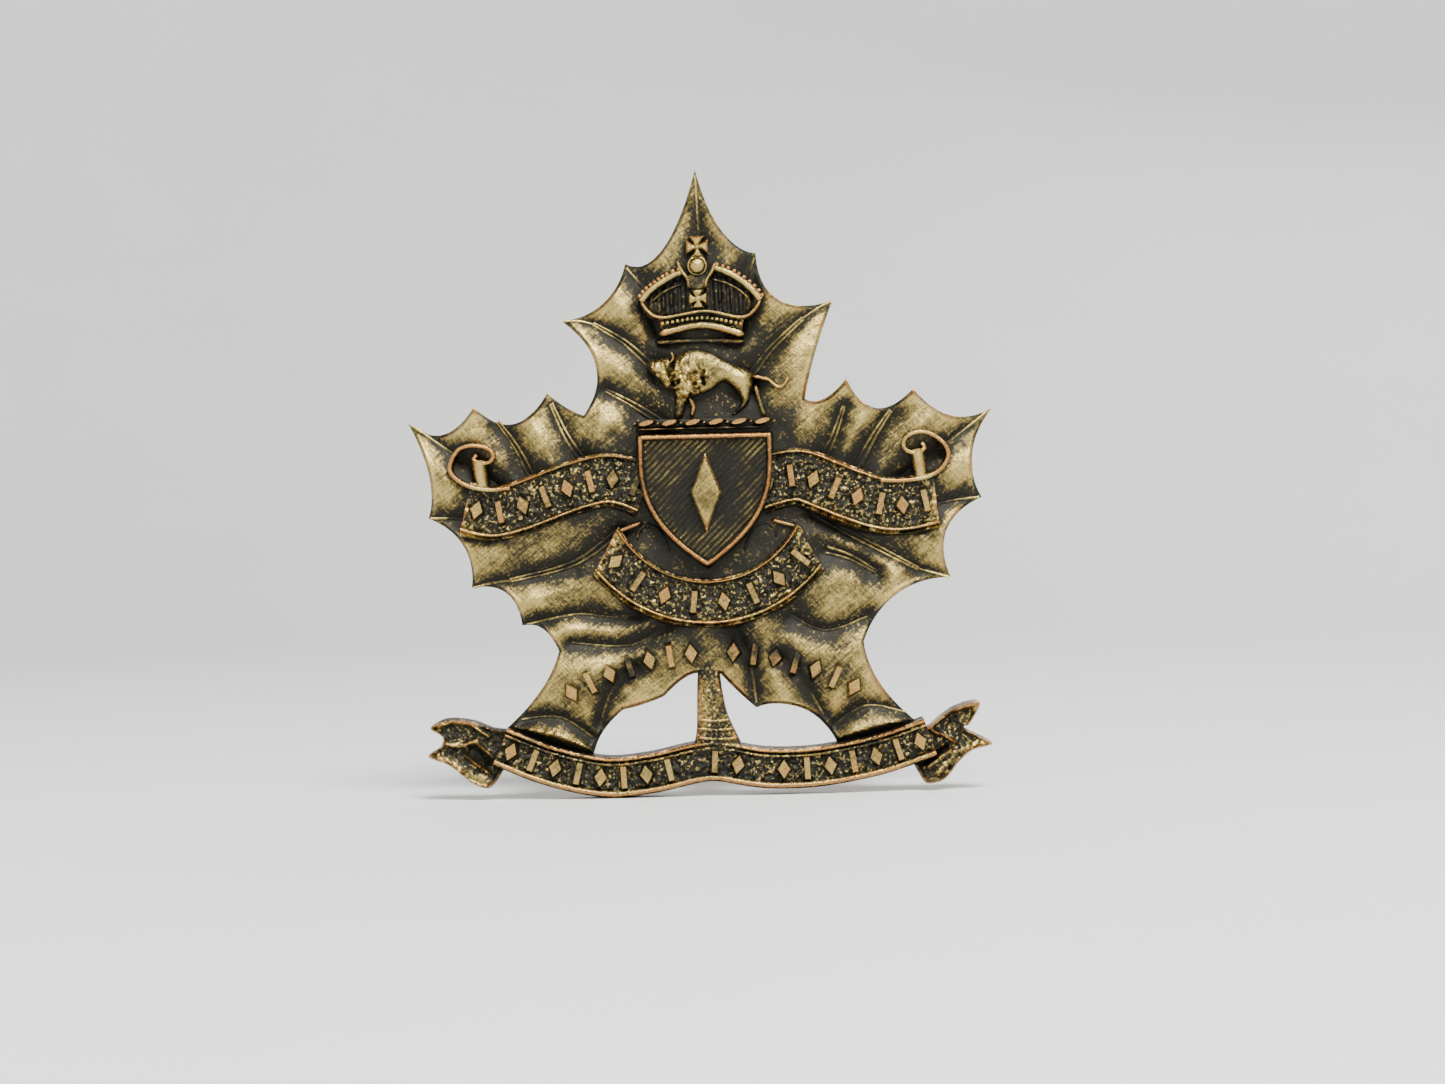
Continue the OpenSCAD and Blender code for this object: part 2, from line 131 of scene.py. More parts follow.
# Veins struck as a single crease
CREASES = [
    [(0.2, 19.6), (0.1, 22), (0, 24.6)], [(2.6, 12.4), (3.6, 15.6), (4.4, 18.2)],
    [(8, 13.4), (9.2, 14.2), (10.3, 14.7)], [(15.2, 1), (19.4, 4), (22, 6)],
    [(16.4, -1.6), (18.8, -0.9), (21.2, -0.6)], [(16.4, -6), (17.8, -6.4), (18.8, -6.7)],
    [(6.6, -9.4), (9.2, -10.6), (12.4, -9.6)], [(-2.8, 12.6), (-3.8, 15.4), (-5.4, 17.6)],
    [(-8, 13.3), (-9.2, 13.6), (-10.3, 13.6)], [(-15.6, 1), (-19, 3.6), (-22, 5.8)],
    [(-16.6, -2), (-18.6, -1.4), (-20.8, -1.3)], [(-14.8, -6.2), (-16.4, -6.4), (-17.7, -6.7)],
    [(-4.8, -8.9), (-7.2, -9.2), (-9.8, -8.9), (-13.6, -9.6)],
    [(-2.7, -9.8), (-5.7, -11.4), (-10.2, -11.1)],
    [(-5.4, -13), (-7.2, -14.7), (-8.2, -17.4)], [(5.8, -12.6), (7.4, -14.4), (8.9, -17)],
    [(-8.8, -18.4), (-11.2, -16.8), (-14.2, -16.9)], [(9.8, -17.8), (12.2, -16.4), (15.2, -17)],
    [(2.4, -10.6), (3.4, -13), (3.8, -16)],
]
# A long swell along the foot of the leaf's left side
LEFT_FOOT = [(-13.6, -18.1), (-11.6, -18.3), (-9.6, -19.3)]
STEM_EDGE = [
    (-0.5, -12.6), (0.8, -12.6), (1.2, -15), (1.6, -16.9), (2.6, -19.2), (2.6, -20), (-0.9, -20),
    (-0.8, -17.8),
]
# Rings at the stem's foot: height, left and right end
STEM_RINGS = [(-17.3, -0.8, 1.7), (-18.0, -0.8, 2.0), (-18.7, -0.8, 2.3)]
MOTTO_LINE = [
    (-15.8, -18.9), (-12.2, -20.4), (-8, -21.4), (-4.4, -21.2), (-1, -20.5), (0.9, -20.4),
    (4.4, -21), (8, -21), (11.5, -20.5), (14, -19.9), (17, -18.9),
]
MOTTO_HALF = 1.6
LEFT_LINE = [
    (-18, -0.5), (-16, -1), (-14, -0.6), (-12, 0.1), (-9.7, 0.9), (-7.4, 1.4), (-5.6, 1.1), (-4.2, 0.5),
]
LEFT_HALF = 1.9
RIGHT_LINE = [
    (4.2, 0.7), (6, 1.2), (7.6, 1.3), (9.4, 0.6), (11.3, -0.2), (13.3, -0.9), (15.2, -1.1), (17.8, -0.6),
]
RIGHT_HALF = 2.0
LOWER_CENTRE = (0.35, 1.0)
LOWER_R = 9.2
LOWER_HALF = 1.7
LOWER_SWEEP = 57
# Ornament: the arc across the leaf's foot, and the places that stay empty there and on the long scroll
LEAF_ROW = ((0.5, -33.6), 21.6, -32, 32)
LEAF_ROW_GAPS = (7,)
MOTTO_GAPS = (8, 11)
LEFT_TAIL = [
    (-14.6, -17.9), (-16.4, -17.5), (-17.9, -16.9), (-19.9, -16.7), (-21.2, -17.4), (-20.3, -18.1),
    (-20.4, -18.8), (-21.4, -19.6), (-19.8, -20.3), (-18.2, -21.6), (-17.1, -22.1), (-16.4, -21.8),
    (-15.6, -20.6), (-14.8, -19.6),
]
RIGHT_TAIL = [
    (15, -18.6), (16.7, -18.2), (17.9, -17.3), (19, -16.6), (20.5, -16.2), (20.9, -16.6),
    (20.1, -18), (19.7, -18.3), (21.8, -19.5), (20.3, -20), (19.2, -20.9), (18.1, -22.2),
    (16.8, -22.5), (16.3, -22), (15.6, -20.6),
]
LEFT_CURL = [
    (-14.6, 0.85), (-16.3, 0.75), (-17.8, 1.1), (-18.9, 1.9), (-19.1, 2.7), (-18.5, 3.8), (-17.5, 4.15),
    (-16.3, 3.95), (-15.8, 3.4), (-16.1, 2.9), (-16.8, 2.8), (-17.3, 3.1), (-17.1, 3.45),
]
RIGHT_CURL = [
    (13.6, 0.85), (15, 0.75), (16.8, 0.92), (18, 1.45), (18.7, 2.35), (18.65, 3.25), (17.8, 4.1),
    (16.75, 4.45), (15.7, 4.15), (15.4, 3.45), (15.8, 2.95), (16.5, 2.9), (17, 3.2), (16.8, 3.6),
]
HOLLOW_EDGE = [
    (0, 20), (3, 15.5), (7, 12.6), (6.4, 8.5), (7.4, 5.4), (11, 4.9), (15, 4.6), (18.6, 3.4),
    (17.5, 0), (16.4, -3.6), (12.4, -6.6), (10.2, -10.6), (11.4, -15), (7.6, -14.3),
    (4, -14), (1, -11.6), (-1, -11.6), (-3.6, -13.4), (-6.8, -14.3), (-10.6, -14.9),
    (-9.3, -11), (-12, -7), (-15.8, -4.4), (-17.5, 0), (-18.6, 3.3), (-15, 4.2),
    (-11, 4.6), (-7.4, 5), (-6.2, 9), (-7.4, 12), (-3.2, 15.4),
]
LEFT_CURL_TAIL = [(-17.0, 3.0), (-16.7, 1.0)]
RIGHT_CURL_TAIL = [(16.45, 3.15), (16.7, 1.1)]
SHIELD_X = 0.3
SHIELD_HALF = 5.1
SHIELD_TOP = 4.65
SHIELD_BEND = 3.0
SHIELD_TIP = -5.5
SHIELD_ARCH = 2.55
SHIELD_BORDER = 0.42
CHARGE = [(0.3, 3.2), (1.5, 0.2), (0.3, -2.8), (-0.9, 0.2)]
BISON_EDGE = [
    (-3.8, 10.35), (-3, 10.55), (-2, 10.7), (-1.3, 11), (-0.3, 11.25), (1, 10.9), (2, 10.3), (3.2, 9.7),
    (4, 9.3), (4.1, 8.4), (3.9, 7.9), (3.7, 6.9), (2.8, 6.1), (2.4, 6.2), (3.1, 7), (2.9, 7.8),
    (2.2, 8.4), (1.8, 8.6), (0.9, 8), (-0.2, 7.6), (-0.9, 7.2), (-1.3, 6), (-2, 6), (-1.9, 7.8),
    (-2.6, 8.2), (-3.1, 8.9), (-3.8, 9.6),
]
BISON_TAIL = [(4, 9), (4.9, 8.8), (5.3, 8.65), (5.9, 8.15), (6.35, 8.25), (6.8, 8.9)]
FAR_LEGS = [[(4.2, 8.4), (4.5, 7.3), (4.9, 5.9)], [(-0.9, 7.6), (-0.5, 6.8), (-0.7, 6)]]
BISON_HORN = [(-2.2, 10.1), (-1.95, 10.5), (-2.1, 10.95)]
CROWN_CAP = [
    (-3, 13.4), (3.5, 13.4), (4.8, 14.8), (4, 15.7), (3, 16.4), (1.4, 17.2), (-1.2, 17), (-2.8, 16.1),
    (-4.3, 14.9),
]
CROWN_RIM = [(-4.35, 14.85), (-3, 13.6), (0.5, 14), (3.5, 13.5), (4.8, 14.75)]
CROWN_BAND = [(-3, 12.35), (0.4, 12.95), (3.5, 12.15)]
CROWN_FOOT = [(-3.2, 11.75), (0.2, 11.8), (3.5, 11.7)]
ORB = (0.02, 17.5)
# How wide a cross's arm is for each 1 that its cross is
ARM_WIDTH = 0.62


# ---------------------------------------------------------------- drawing

def bends(rows, steps=24):
    """A closed outline of parabolas, each from one tip to the next through the middle point given."""
    out = []
    for i, (tip, middle) in enumerate(rows):
        a, m, b = (np.array(point, float) for point in (tip, middle, rows[(i + 1) % len(rows)][0]))
        for t in np.arange(steps) / steps:
            out.append((1 - t) * (1 - 2 * t) * a + 4 * t * (1 - t) * m + t * (2 * t - 1) * b)
    return np.array(out)


def spline(points, steps=8, closed=False):
    """A Catmull-Rom curve through the points."""
    p = np.array(points, float)
    n = len(p)
    out = []
    for i in range(n if closed else n - 1):
        if closed:
            a, b, c, d = (p[(i + k) % n] for k in (-1, 0, 1, 2))
        else:
            a, b, c, d = (p[min(max(i + k, 0), n - 1)] for k in (-1, 0, 1, 2))
        for t in np.arange(steps) / steps:
            curve = (c - a) * t + (2 * a - 5 * b + 4 * c - d) * t**2 + (3 * b - 3 * c + d - a) * t**3
            out.append(b + 0.5 * curve)
    if not closed:
        out.append(p[-1])
    return np.array(out)


def arc(centre, radius, start, end, steps=48):
    """Points of an arc. Its angles are in degrees, clockwise from straight up."""
    a = np.radians(np.linspace(start, end, steps + 1))
    return np.stack([centre[0] + radius * np.sin(a), centre[1] + radius * np.cos(a)], 1)


def resample(path, step, closed=False):
    """The same line with points about step apart, its own points kept."""
    p = np.array(path, float)
    if closed:
        p = np.vstack([p, p[:1]])
    out = []
    for a, b in zip(p[:-1], p[1:]):
        n = max(1, int(round(np.linalg.norm(b - a) / step)))
        out += [a + (b - a) * k / n for k in range(n)]
    if not closed:
        out.append(p[-1])
    return np.array(out)


def across(path, closed=False):
    """The unit vector to the left of the line at each of its points."""
    p = np.array(path, float)
    if closed:
        way = np.roll(p, -1, 0) - np.roll(p, 1, 0)
    else:
        way = np.vstack([p[1:2] - p[:1], p[2:] - p[:-2], p[-1:] - p[-2:-1]])
    way /= np.maximum(np.linalg.norm(way, axis=1, keepdims=True), 1e-9)
    return np.stack([-way[:, 1], way[:, 0]], 1)


def inside(points, outline):
    """Which points an outline holds."""
    x, z = points[:, 0], points[:, 1]
    held = np.zeros(len(points), bool)
    for (x0, z0), (x1, z1) in zip(outline, np.roll(outline, -1, 0)):
        if z0 != z1:
            held ^= ((z0 > z) != (z1 > z)) & (x < (x1 - x0) * (z - z0) / (z1 - z0) + x0)
    return held


def gap_to_line(points, path):
    """Distance from each point to a short line."""
    best = np.full(len(points), 1e9)
    path = np.array(path, float)
    for a, b in zip(path[:-1], path[1:]):
        way = b - a
        t = np.clip(((points - a) @ way) / (way @ way), 0, 1)
        best = np.minimum(best, np.linalg.norm(points - a - t[:, None] * way, axis=1))
    return best


def gap_to_edge(points, outline, step=0.04):
    """Distance from each point to a long closed outline."""
    near = resample(outline, step, True)
    tree = kdtree.KDTree(len(near))
    for i, (x, z) in enumerate(near):
        tree.insert((x, z, 0), i)
    tree.balance()
    return np.array([tree.find((x, z, 0))[2] for x, z in points])


def depth_in(points, outline):
    """How far each point lies inside an outline. Outside it, this is below 0."""
    gaps = gap_to_edge(points, outline)
    return np.where(inside(points, outline), gaps, -gaps)


def ease(value, low, high):
    """0 below low, 1 above high, smooth between."""
    t = np.clip((value - low) / (high - low), 0, 1)
    return t * t * (3 - 2 * t)


def rounding(gaps, wide):
    """A quarter round from 0 at an edge to 1 at wide inside it."""
    return np.sqrt(1 - (1 - np.clip(gaps / wide, 0, 1)) ** 2)


def ridge(gaps, wide):
    """1 on a line, fading to nothing over about twice wide."""
    return np.exp(-((gaps / wide) ** 2))


def grain(points, cell, seed):
    """Smooth random heights from -1 to 1 with bumps about cell across."""
    table = np.random.default_rng(seed).uniform(-1, 1, (256, 256))
    q = points / cell + 1000
    k = np.floor(q).astype(int)
    f = q - k
    f = f * f * (3 - 2 * f)
    i, j = k[:, 0] % 256, k[:, 1] % 256
    i1, j1 = (i + 1) % 256, (j + 1) % 256
    low = table[i, j] * (1 - f[:, 0]) + table[i1, j] * f[:, 0]
    high = table[i, j1] * (1 - f[:, 0]) + table[i1, j1] * f[:, 0]
    return low * (1 - f[:, 1]) + high * f[:, 1]


def place(points, levels):
    """Drawing points and levels as points of a mesh."""
    return np.stack([points[:, 0] * SCALE_X, -np.asarray(levels) * MM, points[:, 1] * SCALE_Z], 1)


# ---------------------------------------------------------------- shells

def signed_area(outline):
    """Twice the area that an outline holds, above 0 if it runs anticlockwise."""
    ahead = np.roll(outline, -1, 0)
    return np.sum(outline[:, 0] * ahead[:, 1] - outline[:, 1] * ahead[:, 0])


def tube_faces(rings, count, closed=False):
    """Quads between rings of count points each, and an end face on the first and last ring."""
    faces = []
    for k in range(rings if closed else rings - 1):
        a, b = k * count, ((k + 1) % rings) * count
        faces += [(a + i, a + (i + 1) % count, b + (i + 1) % count, b + i) for i in range(count)]
    if not closed:
        faces += [tuple(range(count))[::-1], tuple((rings - 1) * count + i for i in range(count))]
    return faces


def triangles(points, count):
    """Triangles inside the outline that the first count points make. They are wound to face -Y."""
    edges = [(i, (i + 1) % count) for i in range(count)]
    verts, _, faces, _, _, _ = delaunay_2d_cdt([Vector(p) for p in points], edges, [], 1, 1e-9)
    if len(verts) != len(points):
        raise RuntimeError("an outline crosses itself or repeats a point")
    out = []
    for a, b, c in faces:
        pa, pb, pc = verts[a], verts[b], verts[c]
        turn = (pb.x - pa.x) * (pc.y - pa.y) - (pb.y - pa.y) * (pc.x - pa.x)
        out.append((a, b, c) if turn > 0 else (a, c, b))
    return out


def fill_points(outline, spacing, rings):
    """Rings of points just inside an outline, then a staggered grid over the rest, with edge distances."""
    side = across(outline, True)
    inward = side if signed_area(outline) > 0 else -side
    sets = []
    for r in rings:
        ring = outline + inward * r
        ring = ring[inside(ring, outline)]
        gaps = gap_to_edge(ring, outline)
        sets.append(ring[gaps > r * 0.9])
    low, high = outline.min(0), outline.max(0)
    grid = []
    for k, z in enumerate(np.arange(low[1], high[1], spacing * ROW_STEP)):
        x = np.arange(low[0] + (k % 2) * spacing / 2, high[0], spacing)
        grid.append(np.stack([x, np.full_like(x, z)], 1))
    grid = np.concatenate(grid)
    grid = grid[inside(grid, outline)]
    gaps = gap_to_edge(grid, outline)
    sets.append(grid[gaps > (rings[-1] if rings else 0) + spacing * 0.55])
    return np.concatenate(sets)


def relief(outline, level, foot, spacing, rings=(0.07, 0.16), back=None, back_seeds=()):
    """A closed shell: a face whose level is a function, side walls, and a back at foot or shaped by back.

    level takes points and their distances from the outline. back, if given, does too.
    """
    edge = resample(outline, spacing * 0.9, True)
    count = len(edge)
    points = np.vstack([edge, fill_points(edge, spacing, rings)])
    gaps = gap_to_edge(points, edge)
    gaps[:count] = 0
    faces = triangles(points, count)
    verts = place(points, level(points, gaps))
    total = len(verts)
    rear = edge
    if back:
        filling = fill_points(edge, BACK_SPACING, (0.3,))
        for seeds in back_seeds:
            filling = filling[gap_to_edge(filling, seeds) > BACK_SPACING / 2]
        rear = np.vstack([edge, filling, *back_seeds])
        rear_gaps = gap_to_edge(rear, edge)
        rear_gaps[:count] = 0
        rear_verts = place(rear, back(rear, rear_gaps))
    else:
        rear_verts = place(rear, np.full(count, float(foot)))
    rear_faces = triangles(rear, count)
    faces += [(total + a, total + c, total + b) for a, b, c in rear_faces]
    turn = signed_area(edge)
    for i in range(count):
        j = (i + 1) % count
        wall = (i, total + i, total + j, j)
        faces.append(wall if turn > 0 else wall[::-1])
    return np.vstack([verts, rear_verts]), faces


def sweep(path, offsets, levels, closed=False, shifts=None):
    """A bar along a line. Row k of offsets and levels is its section there, left to right as it runs.

    shifts, if given, moves the points of each section along the line.
    """
    side = across(path, closed)
    way = side[:, ::-1] * [1, -1]
    n, m = offsets.shape
    if shifts is None:
        shifts = np.zeros((n, m))
    verts = np.concatenate([
        place(path[k] + offsets[k][:, None] * side[k] + shifts[k][:, None] * way[k], levels[k])
        for k in range(n)
    ])
    return verts, tube_faces(n, m, closed)


def rib(path, half, rise, level, closed=False, ends=0.3, sink=0.3, sides=8):
    """A half-round bar along a line, thinned to its ends. half, rise and level may be one value a point."""
    path = np.array(path, float)
    n = len(path)
    run = np.concatenate([[0], np.cumsum(np.linalg.norm(np.diff(path, axis=0), axis=1))])
    thin = np.ones(n)
    if not closed and ends:
        thin = np.sqrt(np.clip(np.minimum(run, run[-1] - run) / ends, 0.04, 1))
    turn = np.linspace(0, math.pi, sides + 1)
    across_it = np.append(np.cos(turn), [-1, 1])
    up_it = np.append(np.sin(turn), [0, 0])
    offsets = np.outer(np.broadcast_to(half, n) * thin, across_it)
    levels = np.broadcast_to(level, n)[:, None] + np.outer(np.broadcast_to(rise, n) * thin, up_it)
    levels[:, -2:] -= sink
    return sweep(path, offsets, levels, closed)


def strip(points, half, rise, level, sink=0.3, step=0.1, ends=0.3):
    """A half-round bar along the smooth line through the points."""
    return rib(resample(spline(points), step), half, rise, level, sink=sink, ends=ends)


def dome(centre, radius, rise, level, steps=10, sides=24, sink=0.3):
    """A round boss on a short wall."""
    rings = []
    for k in range(steps):
        a = math.pi / 2 * k / steps
        turn = np.linspace(0, 2 * math.pi, sides, endpoint=False)
        r = radius * math.cos(a)
        ring = np.stack([centre[0] + r * np.cos(turn), centre[1] + r * np.sin(turn)], 1)
        rings.append(place(ring, np.full(sides, level + rise * math.sin(a))))
    foot = rings[0].copy()
    foot[:, 1] += sink * MM
    rings.insert(0, foot)
    verts = np.vstack(rings + [place(np.array([centre], float), [level + rise])])
    faces = [tuple(range(sides))[::-1]]
    for k in range(steps):
        for i in range(sides):
            j = (i + 1) % sides
            faces.append((k * sides + i, k * sides + j, (k + 1) * sides + j, (k + 1) * sides + i))
    top = len(verts) - 1
    faces += [(steps * sides + i, steps * sides + (i + 1) % sides, top) for i in range(sides)]
    return verts, faces


def build_mesh(name, shells, sharp_deg=42):
    """One mesh from several shells, smooth but for its sharp corners, with normals facing out."""
    verts, faces, start = [], [], 0
    for v, f in shells:
        verts.append(v)
        faces += [tuple(start + i for i in face) for face in f]
        start += len(v)
    mesh = bpy.data.meshes.new(name)
    mesh.from_pydata(np.vstack(verts).tolist(), [], faces)
    bm = bmesh.new()
    bm.from_mesh(mesh)
    bmesh.ops.recalc_face_normals(bm, faces=bm.faces)
    bm.to_mesh(mesh)
    bm.free()
    mesh.shade_smooth()
    mesh.set_sharp_from_angle(angle=math.radians(sharp_deg))
    return mesh


def new_object(name, data):
    """An object in the scene."""
    made = bpy.data.objects.new(name, data)
    bpy.context.scene.collection.objects.link(made)
    return made


FACE_PIECES = []


def add_piece(name, shells, node="struck_badge", body="badge", finish=None,
              tone=0.0, rub=1.0, grit=0.0):
    """Links a mesh, or the shells of one, as a piece that rides on a body and stands for a CAD node.

    tone makes the bronze of a piece brighter or darker. rub says how much its edges show copper, and grit
    how many bright grains stand out of its dark ground.
    """
    mesh = shells if isinstance(shells, bpy.types.Mesh) else build_mesh(name, shells)
    piece = new_object(name, mesh)
    mesh.materials.clear()
    mesh.materials.append(finish or aged_bronze())
    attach(piece, body)
    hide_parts(node)
    if node == "struck_badge":
        FACE_PIECES.append((piece, tone, rub, grit))


# ---------------------------------------------------------------- rows made with Geometry Nodes

def new_node(tree, kind, settings, inputs, out):
    """Adds a node, sets it, fills its sockets with values or links, and gives one of its outputs."""
    new = tree.nodes.new(kind)
    for key, value in (settings or {}).items():
        setattr(new, key, value)
    for key, value in (inputs or {}).items():
        if isinstance(value, bpy.types.NodeSocket):
            tree.links.new(value, new.inputs[key])
        else:
            new.inputs[key].default_value = value
    return new.outputs[out]


class Tree:
    """A geometry tree with named inputs, one node at a time."""

    def __init__(self, name):
        self.group = bpy.data.node_groups.new(name, "GeometryNodeTree")
        self.group.interface.new_socket("Geometry", in_out="INPUT", socket_type="NodeSocketGeometry")
        self.group.interface.new_socket("Geometry", in_out="OUTPUT", socket_type="NodeSocketGeometry")
        self.given = {}

    def size(self, name, kind="NodeSocketFloat"):
        """Adds a named input."""
        socket = self.group.interface.new_socket(name, in_out="INPUT", socket_type=kind)
        self.given[name] = socket.identifier

    def node(self, kind, settings=None, inputs=None, out=0):
        return new_node(self.group, kind, settings, inputs, out)

    def close(self, result, finish):
        """Ends the tree in real geometry with its finish."""
        real = self.node("GeometryNodeRealizeInstances", None, {"Geometry": result})
        finished = self.node("GeometryNodeSetMaterial", None, {"Geometry": real, "Material": finish})
        self.group.links.new(finished, self.group.nodes.new("NodeGroupOutput").inputs[0])
        return self


def row_tree(name, shape):
    """Instances one small shape on every point, by the point's own turn and stretch."""
    tree = Tree(name)
    for size in ("Width", "Height", "Rise", "Top"):
        tree.size(size)
    tree.size("Finish", "NodeSocketMaterial")
    sizes = tree.group.nodes.new("NodeGroupInput").outputs
    if shape == "bead":
        blank = tree.node("GeometryNodeMeshUVSphere", None, {"Segments": 10, "Rings": 7, "Radius": 0.5})
    else:
        corners = {"lozenge": 4, "bar": 4, "drop": 10}[shape]
        blank = tree.node("GeometryNodeMeshCone", None, {
            "Vertices": corners, "Side Segments": 2, "Radius Top": sizes["Top"],
            "Radius Bottom": 0.5 if shape != "bar" else math.sqrt(0.5), "Depth": 1.0,
        })
        turn = math.pi / 4 if shape == "bar" else 0
        blank = tree.node("GeometryNodeTransform", None, {"Geometry": blank, "Rotation": (0, 0, turn)})
    stretch = tree.node("ShaderNodeCombineXYZ", None, {
        "X": sizes["Width"], "Y": sizes["Height"], "Z": sizes["Rise"]})
    shaped = tree.node("GeometryNodeTransform", None, {"Geometry": blank, "Scale": stretch})
    facing = tree.node("GeometryNodeTransform", None, {
        "Geometry": shaped, "Rotation": (math.pi / 2, 0, 0)})
    turned = tree.node("GeometryNodeInputNamedAttribute", {"data_type": "FLOAT_VECTOR"}, {"Name": "turn"})
    grown = tree.node("GeometryNodeInputNamedAttribute", {"data_type": "FLOAT_VECTOR"}, {"Name": "stretch"})
    spread = tree.node("GeometryNodeInstanceOnPoints", None, {
        "Points": sizes["Geometry"], "Instance": facing, "Rotation": turned, "Scale": grown})
    return tree.close(spread, sizes["Finish"])


def line_tree(name):
    """Gives every edge a round bar along it."""
    tree = Tree(name)
    tree.size("Width")
    tree.size("Finish", "NodeSocketMaterial")
    sizes = tree.group.nodes.new("NodeGroupInput").outputs
    lines = tree.node("GeometryNodeMeshToCurve", None, {"Mesh": sizes["Geometry"]})
    section = tree.node("GeometryNodeCurvePrimitiveCircle", None, {"Resolution": 8, "Radius": 0.5})
    scale = tree.node("ShaderNodeCombineXYZ", None, {axis: sizes["Width"] for axis in ("X", "Y", "Z")})
    sized = tree.node("GeometryNodeTransform", None, {"Geometry": section, "Scale": scale})
    bars = tree.node("GeometryNodeCurveToMesh", None, {
        "Curve": lines, "Profile Curve": sized, "Fill Caps": True})
    return tree.close(bars, sizes["Finish"])


def baked(name, seeds, tree, given):
    """The plain mesh that a tree makes of its seeds."""
    holder = new_object(name + "_seeds", seeds)
    rows = holder.modifiers.new(name, "NODES")
    rows.node_group = tree.group
    for size, value in given.items():
        rows[tree.given[size]] = value
    bpy.context.view_layer.update()
    mesh = bpy.data.meshes.new_from_object(holder.evaluated_get(bpy.context.evaluated_depsgraph_get()))
    bpy.data.objects.remove(holder)
    mesh.shade_smooth()
    mesh.set_sharp_from_angle(angle=math.radians(35))
    return mesh


def struck_lines(name, paths, width):
    """A mesh of one round bar along each path. A path is its points and their levels."""
    verts, edges, start = [], [], 0
    for points, levels in paths:
        count = len(points)
        verts += place(np.array(points, float), np.broadcast_to(levels, count)).tolist()
        edges += [(start + i, start + i + 1) for i in range(count - 1)]
        start += count
    seeds = bpy.data.meshes.new(name)
    seeds.from_pydata(verts, edges, [])
    return baked(name, seeds, line_tree(name), {"Width": width * MM, "Finish": aged_bronze()})


def struck_row(name, shape, places, width, height, rise, top=0.3, sink=0.1):
    """A mesh of one small shape at many places. A place is a point, a level, a turn and a length factor.

    The turn is in radians, anticlockwise as seen from the face. Each shape stands sunk in what carries it.
    """
    seeds = bpy.data.meshes.new(name)
    lift = rise / 2 - sink if shape == "bead" else -sink
    points = place(np.array([p[0] for p in places], float), [p[1] + lift for p in places])
    seeds.from_pydata(points.tolist(), [], [])
    turn = seeds.attributes.new("turn", "FLOAT_VECTOR", "POINT")
    turn.data.foreach_set("vector", np.array([(0, -p[2], 0) for p in places], float).ravel())
    stretch = seeds.attributes.new("stretch", "FLOAT_VECTOR", "POINT")
    stretch.data.foreach_set("vector", np.array([(p[3], 1, 1) for p in places], float).ravel())
    return baked(name, seeds, row_tree(name, shape), {
        "Width": width * MM, "Height": height * MM, "Rise": rise * MM, "Top": top,
        "Finish": aged_bronze()})


# ---------------------------------------------------------------- finishes

class Value:
    """A shader socket to reckon with. Sums on it add Math nodes, and node() adds any other node."""

    def __init__(self, tree, socket=None):
        self.tree = tree
        self.socket = socket

    def node(self, kind, settings=None, inputs=None, out=0):
        plain = {}
        for key, value in (inputs or {}).items():
            plain[key] = value.socket if isinstance(value, Value) else value
        return Value(self.tree, new_node(self.tree, kind, settings, plain, out))

    def _sum(self, operation, a, b):
        return self.node("ShaderNodeMath", {"operation": operation}, {0: a, 1: b})

    def __add__(self, other):
        return self._sum("ADD", self, other)

    __radd__ = __add__

    def __sub__(self, other):
        return self._sum("SUBTRACT", self, other)

    def __rsub__(self, other):
        return self._sum("SUBTRACT", other, self)

    def __mul__(self, other):
        return self._sum("MULTIPLY", self, other)

    __rmul__ = __mul__

    def ease(self, low, high):
        """0 below low, 1 above high, smooth between."""
        return self.node("ShaderNodeMapRange", {"interpolation_type": "SMOOTHSTEP"}, {
            "Value": self, "From Min": low, "From Max": high})

    def noise(self, where, scale, detail=3.0, roughness=0.55, distortion=0.0):
        """Cloudy noise of scale features a millimetre."""
        return self.node("ShaderNodeTexNoise", None, {
            "Vector": where, "Scale": scale, "Detail": detail, "Roughness": roughness,
            "Distortion": distortion})

    def mix(self, amount, a, b):
        """Colour a turning to colour b with amount."""
        return self.node("ShaderNodeMix", {"data_type": "RGBA"}, {0: amount, 6: a, 7: b}, out=2)

    def bump(self, strength, depth, height):
        """A normal tilted by a height, depth in millimetres."""
        return self.node("ShaderNodeBump", None, {
            "Strength": strength, "Distance": depth * MM, "Height": height})

    def attribute(self, name):
        """A number that the mesh carries at each point."""
        return self.node("ShaderNodeAttribute", {"attribute_name": name}, out=2)

    def millimetres(self):
        """The point on the piece, in millimetres."""
        where = self.node("ShaderNodeTexCoord", out=3)
        return self.node("ShaderNodeVectorMath", {"operation": "SCALE"}, {0: where, 3: 1 / MM})

    def streaks(self, where, turn, reach, **settings):
        """Noise drawn out to reach along each axis, then turned."""
        drawn = self.node("ShaderNodeMapping", {"vector_type": "TEXTURE"}, {
            "Vector": where, "Rotation": turn, "Scale": reach})
        return self.noise(drawn, 1.0, **settings)


def finish_of(name):
    """An empty material with its shader, and the value that its nodes start from."""
    made = bpy.data.materials.new(name)
    made.use_nodes = True
    shader = made.node_tree.nodes["Principled BSDF"]
    return made, shader, Value(made.node_tree)


def join(shader, **links):
    """Links values to a shader's sockets, whose names are given with underscores."""
    for name, value in links.items():
        value.tree.links.new(value.socket, shader.inputs[name.replace("_", " ")])


def colour(rgb, shade=1.0):
    """A socket's colour, darkened to shade."""
    return (*(shade * c for c in rgb), 1.0)


